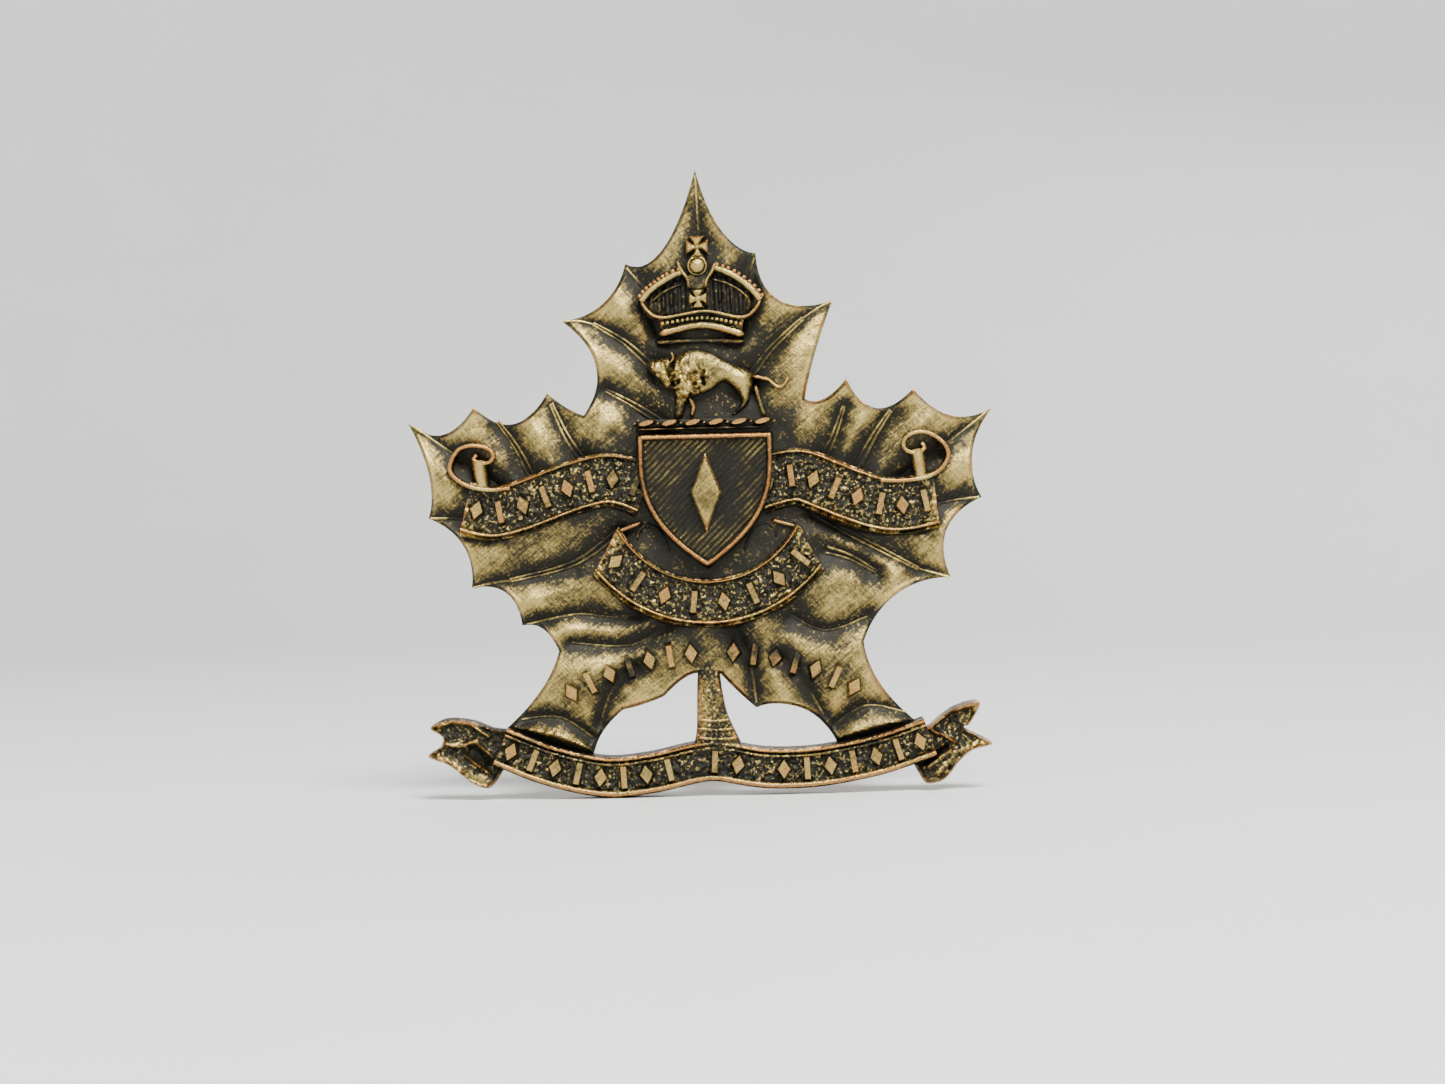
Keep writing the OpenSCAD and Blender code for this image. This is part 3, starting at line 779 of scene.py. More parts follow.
def aged_bronze():
    """Aged bronze: dark patina in the recesses, with painted shade beside taller parts; olive brass on the
    swells, partly rubbed and partly a painted highlight; copper where edges are rubbed.
    """
    if "aged_bronze" in bpy.data.materials:
        return bpy.data.materials["aged_bronze"]
    tints = bpy.context.scene.badge_colours
    made, shader, v = finish_of("aged_bronze")
    where = v.millimetres()
    crest, swell = v.attribute("crest"), v.attribute("swell")
    cloud = v.noise(where, 0.45, 5.0, 0.62)
    speck = v.noise(where, 5.5, 4.0, 0.7)
    rough = {"roughness": 0.65, "distortion": 0.4}
    strokes = v.streaks(where, (0, math.radians(-38), 0), (2.2, 1, 0.2), detail=4.0, **rough)
    hairs = v.streaks(where, (0, math.radians(47), 0), (1.2, 1, 0.09), detail=3.0, **rough)
    scratch = strokes * 0.55 + hairs * 0.45
    flecks = v.noise(where, 4.2, 2.0, 0.5).ease(0.52, 0.64)
    # Height above the surroundings sets the colour: low places take patina, which beside taller parts is
    # also painted shade, and swells take bright brass, which is partly rubbed and partly a painted
    # highlight
    wear_and_light = swell + 0.5 * crest + 0.9 * (cloud - 0.5) + 1.3 * (scratch - 0.5) + 0.5 * (speck - 0.5)
    wear_and_light = wear_and_light + 0.42 * v.attribute("grit") * flecks
    # Metal against patina: where it is low beside taller parts, the dark is painted shade as well as patina
    clean_and_lit = wear_and_light.ease(-0.16, 0.14)
    # Painted highlight: the brass brightens on the swells, partly as rubbed metal
    bright = wear_and_light.ease(0.02, 0.5)
    rubbed = (crest + 0.6 * (speck - 0.5) + 0.7 * (cloud - 0.5)).ease(0.1, 0.34)
    metal = v.mix(bright, colour(tints.dull_brass), colour(tints.brass))
    metal = v.mix(rubbed * 0.66, metal, colour(tints.copper))
    tone = v.mix(clean_and_lit, colour(tints.patina), metal)
    join(shader, Base_Color=tone)
    join(shader, Metallic=0.82 + 0.18 * clean_and_lit)
    join(shader, Roughness=0.48 - 0.22 * clean_and_lit + 0.3 * (scratch - 0.5) + 0.2 * (speck - 0.5))
    join(shader, Normal=v.bump(0.9, 0.065, scratch * 1.1 + speck * 0.7 + cloud * 0.6))
    return made


def drawn_wire(name, rgb, shade, rough):
    """Drawn wire: fine lines along it, toned in blotches that darken it to shade."""
    if name in bpy.data.materials:
        return bpy.data.materials[name]
    made, shader, v = finish_of(name)
    where = v.millimetres()
    lines = v.streaks(where, (0, 0, 0), (2.0, 0.14, 0.14), detail=4.0)
    cloud = v.noise(where, 0.9, 5.0, 0.65)
    tone = (cloud + 0.35 * (lines - 0.5)).ease(0.36, 0.66)
    join(shader, Base_Color=v.mix(tone, colour(rgb, shade), colour(rgb)))
    join(shader, Roughness=rough + 0.22 * (1 - tone) + 0.1 * (lines - 0.5))
    shader.inputs["Metallic"].default_value = 1.0
    join(shader, Normal=v.bump(0.4, 0.02, lines + 0.4 * cloud))
    return made


def soft_solder():
    """Dull grey solder with a frosty grain and a darker skin."""
    if "soft_solder" in bpy.data.materials:
        return bpy.data.materials["soft_solder"]
    tints = bpy.context.scene.badge_colours
    made, shader, v = finish_of("soft_solder")
    where = v.millimetres()
    frost = v.noise(where, 9.0, 5.0, 0.7)
    cloud = v.noise(where, 1.6, 4.0, 0.6)
    tone = (cloud + 0.3 * (frost - 0.5)).ease(0.35, 0.65)
    join(shader, Base_Color=v.mix(tone, colour(tints.solder, 0.45), colour(tints.solder)))
    join(shader, Roughness=0.42 + 0.25 * frost)
    shader.inputs["Metallic"].default_value = 0.9
    join(shader, Normal=v.bump(0.5, 0.04, frost + 0.8 * cloud))
    return made


def pale_stage():
    """A matt pale surface with a faint mottle."""
    made, shader, v = finish_of("pale_stage")
    mottle = v.noise(v.millimetres(), 0.02, 4.0, 0.6)
    pale = bpy.context.scene.badge_stage.floor_tint
    join(shader, Base_Color=v.mix(mottle, colour(pale, 0.94), colour(pale)))
    shader.inputs["Roughness"].default_value = 0.85
    return made


# ---------------------------------------------------------------- shapes of the face

LEAF = bends(LEAF_EDGE)
HOLLOW = spline(HOLLOW_EDGE, 10, True)
LEFT_SCROLL = spline(LEFT_LINE)
RIGHT_SCROLL = spline(RIGHT_LINE)
MOTTO = spline(MOTTO_LINE)
LOWER_SCROLL = arc(LOWER_CENTRE, LOWER_R, 180 + LOWER_SWEEP, 180 - LOWER_SWEEP)


def shield_outline(inset, steps=24):
    """The shield's edge, moved in by inset."""
    t = np.linspace(0, 1, steps + 1)
    wide, low = SHIELD_HALF - inset, SHIELD_BEND - SHIELD_TIP - 1.3 * inset
    side = np.stack([wide * (1 - t ** SHIELD_ARCH), SHIELD_BEND - low * t], 1)
    mirrored = side[-2::-1] * [-1, 1]
    top = np.array([[-wide, SHIELD_TOP - inset], [wide, SHIELD_TOP - inset]])
    return np.vstack([top, side, mirrored]) + [SHIELD_X, 0]


def veins_near(points):
    """Distance from each point to the nearest vein or crease."""
    near = np.full(len(points), 1e9)
    for path in DOUBLE_VEINS + CREASES:
        near = np.minimum(near, gap_to_line(points, spline(path, 3)))
    return near


def leaf_level(points, gaps):
    """The leaf swells between its veins, dips round the shield and crown, and rounds off at its edge."""
    away = np.clip((veins_near(points) - 0.12) / 2.3, 0, 1)
    level = VALLEY + (SWELL - VALLEY) * np.sin(math.pi / 2 * away) ** 0.85
    level += 0.13 * grain(points, 2.1, 3) + 0.035 * grain(points, 0.7, 4)
    level -= 0.22 * (1 - ease(gaps, 0, 1.7))
    for middle, reach in (((0.3, 1.5), (7.5, 9)), ((0.3, 12.5), (6, 7.5))):
        dip = np.hypot(*((points - middle) / reach).T)
        level -= 0.3 * (1 - ease(dip, 0.6, 1.15))
    level += 0.5 * ridge(gap_to_line(points, LEFT_FOOT), 0.5)
    level -= 0.3 * (1 - ease(gaps, 0, 0.3)) - 0.05 * ridge(gaps - 0.25, 0.14)
    level = np.minimum(level, VALLEY + 1.2 * np.maximum(gap_to_line(points, MOTTO) - MOTTO_HALF, 0))
    level = np.maximum(level, 1.02)
    under = inside(points, shield_outline(0.9))
    return np.where(under, SHIELD_FOOT + 0.2, level)


def level_on_leaf(points):
    """The leaf's level under any points."""
    return leaf_level(points, gap_to_edge(points, LEAF))


def leaf_back(points, gaps):
    """A flat rim, a shallow hollow inside it and a deeper one behind the shield."""
    depth = depth_in(points, HOLLOW)
    level = HOLLOW_D * ease(depth, -0.05, 0.3) + 0.03 * grain(points, 2.5, 8) * ease(depth, 0.4, 1.5)
    depth = depth_in(points, shield_outline(SHIELD_WALL))
    return level + (SHIELD_HOLLOW - HOLLOW_D) * ease(depth, -0.25, 0.25)


def ribbon(line, half, field, lines, skirts, land, foot, seed, step=0.09, slants=(0, 0)):
    """A scroll along a line: a stippled field, raised lines, and rounded sides that run down to land.

    A raised line is its offset, half width and rise. skirts are the widths of the lower and upper side.
    slants are how far its two ends lean along the line for each step across it.
    """
    path = resample(line, step)
    side = across(path)
    way = side[:, ::-1] * [1, -1]
    inner = np.arange(-half, half + step / 2, step * 0.85)
    fall = np.array([0.3, 0.6, 0.85, 1])
    u = np.concatenate([-half - skirts[0] * fall[::-1], inner, half + skirts[1] * fall])
    rise = np.zeros(len(u))
    for at, wide, high in lines:
        rise = np.maximum(rise, high * np.sqrt(np.clip(1 - ((u - at) / wide) ** 2, 0, 1)))
    outside = np.abs(u) - half
    fall = np.clip(outside / np.where(u < 0, skirts[0], skirts[1]), 0, 1)
    shoulder = field + 0.6 * max(high for _, _, high in lines)
    n, m = len(path), len(u)
    run = np.linspace(0, 1, n) * n * step
    lean = slants[0] * (1 - ease(run, 0, 3)) + slants[1] * ease(run, run[-1] - 3, run[-1])
    offsets = np.tile(np.append(u, [u[-1], u[0]]), (n, 1))
    levels = np.empty((n, m + 2))
    for k in range(n):
        points = path[k] + u[:, None] * (side[k] + lean[k] * way[k])
        stipple = 0.13 * grain(points, 0.26, seed) + 0.05 * grain(points, 0.14, seed + 1)
        plain = field + rise + stipple * np.where(rise > 0.02, 0.25, 1.0)
        levels[k, :m] = np.where(outside > 0, shoulder + (land - shoulder) * fall ** 2, plain)
    levels[:, m:] = foot
    return sweep(path, offsets, levels, shifts=offsets * lean[:, None])


def row_places(path, count, level, gaps=()):
    """Places along a path with their numbers, square on it, leaving out those in gaps."""
    path = resample(path, 0.05)
    out = []
    for i in range(count):
        if i in gaps:
            continue
        at = (i + 0.5) / count * (len(path) - 1)
        k = int(at)
        way = path[min(k + 1, len(path) - 1)] - path[k]
        point = path[k] + (at - k) * way
        here = level(point[None])[0] if callable(level) else level
        out.append((i, (point, here, math.atan2(way[1], way[0]), 1.0)))
    return out


def band_of_curl(path, half, top, foot):
    """A thin band standing on its edge, with a rounded top."""
    line = resample(spline(path, 10), 0.08)
    n = len(line)
    turn = np.linspace(0, math.pi, 9)
    offsets = np.tile(np.append(half * np.cos(turn), [-half * 1.5, half * 1.5]), (n, 1))
    drop = 0.35 * np.linspace(0, 1, n) ** 3
    levels = np.tile(np.append(top - half + half * np.sin(turn), [foot, foot]), (n, 1))
    levels[:, :9] -= drop[:, None]
    return sweep(line, offsets, levels)


def tail_level(points, gaps, folds):
    """A folded scroll end: dished, with a lip at its edge and creases along its folds."""
    level = 1.3 + 0.1 * grain(points, 0.45, 21) + 0.1 * grain(points, 0.22, 22)
    level += 0.3 * ridge(gaps - 0.14, 0.12)
    for path, rise, wide in folds:
        level += rise * ridge(gap_to_line(points, path), wide)
    return np.minimum(level - 0.25 * (1 - ease(gaps, 0, 0.1)), 1.95)


def bison_level(points, gaps):
    """A full body with a shaggy mane and forehead, and a smooth flank and rump."""
    level = 1.75 + 0.7 * rounding(gaps, 0.8)
    for (x, z), (wide, tall), rise in BISON_SWELLS:
        out = np.hypot((points[:, 0] - x) / wide, (points[:, 1] - z) / tall)
        level += rise * (1 - ease(out, 0.2, 1.15))
    level -= 0.34 * (1 - ease(points[:, 1], 6.4, 7.8))
    level -= 0.4 * ridge(gap_to_line(points, BISON_NECK), 0.2)
    shag = 1 - ease(np.hypot((points[:, 0] + 0.9) / 1.7, (points[:, 1] - 8.9) / 1.7), 0.75, 1.1)
    brow = 1 - ease(np.hypot((points[:, 0] + 3.1) / 1.0, (points[:, 1] - 9.8) / 0.9), 0.7, 1.1)
    tilted = points @ np.array([[0.8, 0.6], [-0.6, 0.8]])
    curls = 0.6 * grain(tilted, 0.27, 31) + 0.4 * grain(tilted[:, ::-1], 0.17, 34) - 0.1
    strands = grain(points * [3.2, 0.9], 0.5, 32)
    upper = ease(points[:, 1], 9.2, 10.0)
    level += np.maximum(shag, brow) * (0.42 * curls * (1 - upper) + 0.2 * strands * upper)
    level += 0.03 * grain(points, 0.3, 33)
    return np.minimum(level, TOP_LEVEL - 0.05)


BISON_NECK = [(-2.1, 10.9), (-2.0, 10.0), (-2.3, 9.3), (-1.9, 8.4)]
BISON_SWELLS = [
    ((-0.9, 9.4), (1.9, 2.0), 0.32), ((-3.0, 9.8), (0.8, 0.75), 0.3), ((3.0, 8.8), (1.0, 1.1), 0.3),
    ((-2.4, 8.7), (0.5, 0.6), 0.12),
]
CROWN_ARCHES = [
    [(-4.3, 14.9), (-3.7, 15.6), (-2.8, 16.25), (-1.9, 16.75), (-1.1, 17.05)],
    [(4.75, 14.8), (4.1, 15.65), (3.1, 16.5), (2.2, 17.0), (1.25, 17.35)],
]
CROWN_LINERS = [
    [(-3.5, 14.8), (-2.9, 15.35), (-2.1, 15.8), (-0.95, 16.2)],
    [(4.0, 14.8), (3.3, 15.5), (2.3, 16.1), (1.0, 16.5)],
]
CROWN_HORNS = [
    [(-1.5, 17.9), (-1.15, 17.1), (-0.75, 16.5), (-0.62, 15.7)],
    [(1.42, 17.75), (1.1, 17.0), (0.72, 16.4), (0.6, 15.7)],
]
CROWN_FORK = [
    (-0.62, 15.7), (0.6, 15.7), (0.85, 16.6), (0.5, 16.9), (0, 16.75), (-0.5, 16.9), (-0.85, 16.6),
]
CROWN_UPRIGHTS = [(-2.0, 15.0), (-1.6, 15.15), (1.7, 15.2), (2.1, 15.1), (2.6, 14.8), (-2.6, 14.75)]


def cross_edge(centre, half, waist, middle):
    """A cross of four splayed arms."""
    arm = np.array([(-half, half * 0.93), (0, half * 0.96), (half, half * 0.93), (waist, middle)], float)
    out = []
    for turn in (0, -90, -180, -270):
        a = math.radians(turn)
        for x, z in arm * [ARM_WIDTH, 1]:
            out.append((centre[0] + x * math.cos(a) - z * math.sin(a),
                        centre[1] + x * math.sin(a) + z * math.cos(a)))
    return np.array(out)


def bevelled(level, drop, wide):
    """The level of a flat top with a rounded edge."""
    return lambda points, gaps: level - drop * (1 - ease(gaps, 0, wide))


# ---------------------------------------------------------------- wire, pin and solder

def wire(path, reach, up, section):
    """A wire along a path in space, all in millimetres. up stays square to the path.

    section holds points as (outward, along up), where outward is up x the path's way.
    """
    path = np.array(path, float)
    way = np.vstack([path[1:2] - path[:1], path[2:] - path[:-2], path[-1:] - path[-2:-1]])
    way /= np.linalg.norm(way, axis=1, keepdims=True)
    out = np.cross(way, up)
    verts = np.concatenate([
        p + np.outer(section[:, 0] * r, o) + np.outer(section[:, 1] * r, up)
        for p, o, r in zip(path, out, np.broadcast_to(reach, len(path)))
    ]) * MM
    return verts, tube_faces(len(path), len(section))


def round_section(steps=24):
    """A circle of radius 1."""
    a = np.linspace(0, 2 * math.pi, steps, endpoint=False)
    return np.stack([np.cos(a), np.sin(a)], 1)


def half_section(steps=20):
    """Half-round, its flat on the path and its corners eased."""
    a = np.linspace(-math.pi / 2, math.pi / 2, steps + 1)
    return np.stack([np.maximum(np.cos(a), 0.0), np.sin(a) * 0.985], 1)


# ---------------------------------------------------------------- settings

class BadgeSizes(bpy.types.PropertyGroup):
    """Sizes of the struck detail, in millimetres."""
    leaf_grid: FloatProperty(
        name="Leaf grid", description="Spacing of points on the leaf's face, in mm", default=0.17, min=0.1)
    fine_grid: FloatProperty(
        name="Fine grid", description="Spacing of points on small pieces, in mm", default=0.1, min=0.05)
    hatch_pitch: FloatProperty(
        name="Hatch pitch", description="Distance between the shield's lines, in mm", default=0.38)
    ornament_h: FloatProperty(
        name="Ornament height", description="Height of the lozenges and bars, in mm", default=2.2)
    ornament_w: FloatProperty(name="Lozenge width", description="Width of a lozenge, in mm", default=1.45)
    bar_w: FloatProperty(name="Bar width", description="Width of an upright bar, in mm", default=0.56)
    bead: FloatProperty(name="Bead", description="Diameter of the beads on the crown, in mm", default=0.36)
    motto_places: IntProperty(
        name="Motto places", description="Places for ornament along the long scroll", default=19, min=1)


class BadgeColours(bpy.types.PropertyGroup):
    """Colours of the metals."""
    # The brighter brass that the swells take over the dull brass is partly a painted highlight
    brass: FloatVectorProperty(
        name="Brass", description="Olive brass on the swells", subtype="COLOR", default=(0.44, 0.34, 0.11))
    dull_brass: FloatVectorProperty(
        name="Dull brass", description="Brass between swells and recesses", subtype="COLOR",
        default=(0.14, 0.105, 0.036))
    copper: FloatVectorProperty(
        name="Copper", description="Rubbed edges and crests", subtype="COLOR", default=(0.32, 0.115, 0.036))
    patina: FloatVectorProperty(
        name="Patina", description="Dark film in the recesses", subtype="COLOR",
        default=(0.016, 0.0155, 0.011))
    wire: FloatVectorProperty(
        name="Lug wire", description="Toned copper wire", subtype="COLOR", default=(0.5, 0.25, 0.13))
    pin: FloatVectorProperty(
        name="Pin", description="Handled brass of the pin", subtype="COLOR", default=(0.62, 0.47, 0.2))
    solder: FloatVectorProperty(
        name="Solder", description="Soft solder", subtype="COLOR", default=(0.3, 0.3, 0.29))


class BadgeStage(bpy.types.PropertyGroup):
    """Camera, floor and lights."""
    lens: FloatProperty(name="Lens", description="Focal length on a 36 mm sensor, in mm", default=60.0)
    view_w: FloatProperty(
        name="View width", description="Width of the view at the badge", default=0.1103, unit="LENGTH")
    aim_x: FloatProperty(
        name="Aim across", description="Where the view's middle is", default=0.00148, unit="LENGTH")
    aim_z: FloatProperty(
        name="Aim up", description="Where the view's middle is", default=-0.00362, unit="LENGTH")
    roll: FloatProperty(
        name="Roll", description="Roll of the camera", default=math.radians(1.3), unit="ROTATION")
    reach: FloatProperty(name="Reach", description="Radius of the stage", default=0.6, unit="LENGTH")
    floor_tint: FloatVectorProperty(
        name="Floor", description="Pale floor and surround", subtype="COLOR", default=(0.8, 0.8, 0.79))
    key: FloatProperty(name="Key light", description="Power of the main light, in watts", default=7.0)
    fill: FloatProperty(name="Fill light", description="Power of each fill light, in watts", default=0.5)
    sky: FloatProperty(name="Sky", description="Strength of the even light", default=0.09)


# ---------------------------------------------------------------- pieces

class BADGE_OT_leaf(bpy.types.Operator):
    """Builds the leaf, with its swells, its hollow back and its veins"""
    bl_idname = "badge.leaf"
    bl_label = "Leaf"

    def execute(self, context):
        sizes = context.scene.badge_sizes
        # Points on both sides of each hollow's edge keep its wall crisp
        seeds = []
        for line in (HOLLOW, shield_outline(SHIELD_WALL)):
            path = resample(line, 0.3, True)
            side = across(path, True)
            seeds += [path + side * off for off in (-0.22, 0, 0.22)]
        shell = relief(LEAF, leaf_level, 0, sizes.leaf_grid, (0.07, 0.16, 0.26), leaf_back, seeds)
        add_piece("leaf", [shell], tone=-0.08, grit=0.35)
        paths = []
        for vein in DOUBLE_VEINS:
            line = spline(vein, 5)
            spread = np.linspace(0.24, 0.09, len(line))[:, None]
            for side in (-1, 1):
                along = line + side * spread * across(line)
                paths.append((along, level_on_leaf(along) + 0.07))
        for crease in CREASES:
            line = spline(crease, 5)
            paths.append((line, level_on_leaf(line) - 0.02))
        add_piece("veins", struck_lines("veins", paths, 0.2), tone=0.3, rub=0.6)
        return {"FINISHED"}


class BADGE_OT_stem(bpy.types.Operator):
    """Builds the leaf's grainy stalk with the rings at its foot"""
    bl_idname = "badge.stem"
    bl_label = "Stem"

    def execute(self, context):
        def level(points, gaps):
            bark = 0.14 * np.abs(grain(points * [1.6, 0.8], 0.3, 41))
            return 1.5 + 0.42 * rounding(gaps, 0.8) + bark - 0.05

        shells = [relief(spline(STEM_EDGE, 5, True), level, 0.04, context.scene.badge_sizes.fine_grid)]
        for z, left, right in STEM_RINGS:
            line = spline([(left, z + 0.2), ((left + right) / 2, z), (right, z + 0.1)], 5)
            shells.append(rib(line, 0.16, 0.2, 1.85, sink=0.8))
        add_piece("stem", shells, tone=-0.35, grit=0.7)
        return {"FINISHED"}


class BADGE_OT_scrolls(bpy.types.Operator):
    """Builds the two side scrolls with their curled ends, and the lower scroll with its turned-back ends"""
    bl_idname = "badge.scrolls"
    bl_label = "Scrolls"

    def execute(self, context):
        rows = [
            ("left_scroll", LEFT_SCROLL, LEFT_HALF, 51, (-0.05, 0)),
            ("right_scroll", RIGHT_SCROLL, RIGHT_HALF, 53, (0, 0.1)),
            ("lower_scroll", LOWER_SCROLL, LOWER_HALF, 55, (-0.5, 0.5)),
        ]
        for name, line, half, seed, slants in rows:
            raised = [(half - 0.15, 0.15, 0.36), (-half + 0.17, 0.17, 0.4)]
            shell = ribbon(line, half, SCROLL_FIELD, raised, (0.55, 0.2), 1.1, BURIED, seed, slants=slants)
            add_piece(name, [shell], tone=-0.28, grit=1.0)
        curls = [("left_curl", LEFT_CURL, LEFT_CURL_TAIL), ("right_curl", RIGHT_CURL, RIGHT_CURL_TAIL)]
        for name, path, tail in curls:
            roll = rib(resample(np.array(tail, float), 0.1), 0.58, 0.85, 1.7, ends=0, sink=0.7)
            add_piece(name, [band_of_curl(path, 0.17, 2.66, BURIED), roll])
        folds = []
        for path in FOLDED_BACKS:
            folds.append(strip(path, 0.13, 0.22, 1.75, 0.7, 0.08))
            edge = resample(spline(path, 6, True), 0.1, True)
            folds.append(relief(edge, bevelled(1.62, 0.3, 0.3), BURIED, 0.1))
        folds += [strip(path, 0.2, 0.35, 1.8, 0.8, 0.08) for path in FOLD_LINES]
        add_piece("scroll_folds", folds, tone=-0.1)
        return {"FINISHED"}


FOLDED_BACKS = [
    [(-5.0, -3.4), (-4.9, -2.7), (-4.3, -2.2), (-3.5, -2.5), (-2.9, -3.4), (-2.5, -4.4)],
    [(5.6, -3.4), (5.5, -2.7), (4.9, -2.2), (4.1, -2.5), (3.5, -3.4), (3.1, -4.4)],
]
FOLD_LINES = [
    [(-6.9, -3.5), (-6.6, -2.8), (-5.8, -2.4), (-4.6, -2.0)],
    [(7.7, -3.3), (7.4, -2.7), (6.6, -2.4), (5.2, -2.0)],
]


class BADGE_OT_motto(bpy.types.Operator):
    """Builds the long scroll at the foot with its folded swallow tails"""
    bl_idname = "badge.motto"
    bl_label = "Motto scroll"

    def execute(self, context):
        half = MOTTO_HALF - 0.12
        raised = [(half - 0.15, 0.15, 0.3), (half - 0.52, 0.13, 0.22), (-half + 0.24, 0.24, 0.36)]
        shell = ribbon(MOTTO, half, MOTTO_FIELD, raised, (0.1, 0.1), 1.1, 0.03, 61)
        add_piece("motto_scroll", [shell], tone=-0.42, grit=0.9)
        # Each fold is a line, its rise and its half width
        folds = [
            [([(-20.6, -17.2), (-19.4, -16.95), (-18, -17.2), (-16.7, -18.1)], 0.45, 0.2),
             ([(-20.2, -18.6), (-19.2, -18.75), (-18.4, -18.65), (-17.6, -18.4)], 0.4, 0.24),
             ([(-18.3, -19.1), (-18.6, -19.5), (-17.6, -20.3), (-16.7, -20.9)], 0.42, 0.14),
             ([(-18, -19.3), (-16.6, -20.3)], -0.35, 0.4), ([(-17.5, -18.7), (-16, -20.1)], 0.42, 0.15),
             ([(-20.4, -19.7), (-18.4, -20.9), (-17.2, -21.5)], 0.32, 0.36)],
            [([(16.8, -18.1), (17.8, -17.4), (19.1, -16.8), (20.4, -16.5)], 0.45, 0.2),
             ([(17.1, -18.4), (18, -18.8), (18.8, -19.3)], 0.38, 0.18),
             ([(15.6, -20.8), (18, -19.5)], 0.42, 0.16),
             ([(16.8, -21.2), (17.6, -20.6), (18.5, -19.9)], 0.38, 0.22),
             ([(16.4, -20.9), (18.2, -19.7)], -0.3, 0.2),
             ([(17.5, -21.7), (19.1, -20), (21.2, -19.5)], 0.32, 0.3)],
        ]
        for name, edge, lines in (("left_tail", LEFT_TAIL, folds[0]), ("right_tail", RIGHT_TAIL, folds[1])):
            shell = relief(spline(edge, 5, True), lambda p, g, f=lines: tail_level(p, g, f), 0.06, 0.1)
            add_piece(name, [shell], tone=-0.3, grit=0.8)
        return {"FINISHED"}


class BADGE_OT_ornament(bpy.types.Operator):
    """Strikes lozenges and upright bars by turns along every scroll and across the foot of the leaf"""
    bl_idname = "badge.ornament"
    bl_label = "Ornament rows"

    def execute(self, context):
        sizes = context.scene.badge_sizes

        rows = [
            (MOTTO, sizes.motto_places, MOTTO_FIELD, MOTTO_GAPS), (LEFT_SCROLL, 8, SCROLL_FIELD, ()),
            (RIGHT_SCROLL, 8, SCROLL_FIELD, ()), (LOWER_SCROLL, 8, SCROLL_FIELD, ()),
            (arc(*LEAF_ROW), 15, level_on_leaf, LEAF_ROW_GAPS),
        ]
        by_turns = ([], [])
        for path, count, level, gaps in rows:
            for i, spot in row_places(path, count, level, gaps):
                by_turns[i % 2].append(spot)
        for name, shape, spots, width, rise, top in (
            ("ornament_lozenges", "lozenge", by_turns[0], sizes.ornament_w, 0.68, 0.32),
            ("ornament_bars", "bar", by_turns[1], sizes.bar_w, 0.64, 0.52),
        ):
            row = struck_row(name, shape, spots, width, sizes.ornament_h, rise, top, 0.2)
            add_piece(name, row, tone=-0.28, rub=0.75)
        return {"FINISHED"}


class BADGE_OT_shield(bpy.types.Operator):
    """Builds the shield: its sloping side, raised border, hatched field and tall lozenge"""
    bl_idname = "badge.shield"
    bl_label = "Shield"

    def execute(self, context):
        def plate(points, gaps):
            return 1.3 + (SHIELD_FIELD - 1.3) * ease(gaps, 0, 0.42) + 0.02 * grain(points, 0.3, 71)

        sizes = context.scene.badge_sizes
        body = relief(shield_outline(-0.3), plate, SHIELD_FOOT - 0.95, sizes.fine_grid)
        border = resample(shield_outline(SHIELD_BORDER / 2), 0.12, True)[::-1]
        rim = rib(border, 0.23, 0.42, 2.75, closed=True, sink=0.5, ends=0)
        add_piece("shield", [body, rim], tone=-0.75, grit=0.4)
        charge = resample(np.array(CHARGE, float), 0.1, True)
        add_piece("shield_lozenge", [relief(charge, bevelled(3.2, 0.22, 0.2), 2.4, 0.08)], tone=-0.2)
        pitch = sizes.hatch_pitch * math.sqrt(2)
        clip = shield_outline(0.46)
        paths = []
        for start in np.arange(-22, 14, pitch):
            run = np.linspace(-7, 7, 281)
            line = np.stack([run, start + 7 + run], 1)
            held = inside(line, clip) & ~inside(line, charge)
            cuts = np.flatnonzero(np.diff(held.astype(int)))
            ends = np.concatenate([[-1], cuts, [len(line) - 1]])
            for a, b in zip(ends[:-1], ends[1:]):
                if held[a + 1] and b - a > 6:
                    paths.append((line[[a + 1, b]], SHIELD_FIELD + 0.02))
        add_piece("shield_hatching", struck_lines("shield_hatching", paths, 0.2), tone=-0.22, rub=0.5)
        return {"FINISHED"}


class BADGE_OT_wreath(bpy.types.Operator):
    """Lays the twisted bar of slanting strands over the shield"""
    bl_idname = "badge.wreath"
    bl_label = "Wreath"

    def execute(self, context):
        left, right, z, strands = -5.0, 5.6, 5.55, 6
        pitch = (right - left) / strands
        places = [((left + pitch * (i + 0.5), z), 2.05, math.radians(14), 1.0) for i in range(strands)]
        links = [((left + pitch * i, z), 1.9, math.radians(42), 1.0) for i in range(strands + 1)]
        row = struck_row("wreath_strands", "drop", places, 1.66, 0.52, 0.95, 0.34, 0.25)
        add_piece("wreath_strands", row, tone=0.42, rub=0.7)
        row = struck_row("wreath_links", "drop", links, 0.5, 0.17, 0.7, 0.2, 0.25)
        add_piece("wreath_links", row, tone=0.1, rub=0.3)
        ledge = np.array([(left + 0.2, 5.1), (right - 0.3, 5.1)], float)
        bed = np.array([(left + 0.1, z), (right - 0.1, z)], float)
        add_piece("wreath_bed", [
            rib(resample(bed, 0.3), 0.34, 0.12, 1.62, sink=0.7),
            rib(resample(ledge, 0.3), 0.09, 0.14, 2.1, sink=1.0)], tone=-0.2, rub=0.4)
        return {"FINISHED"}


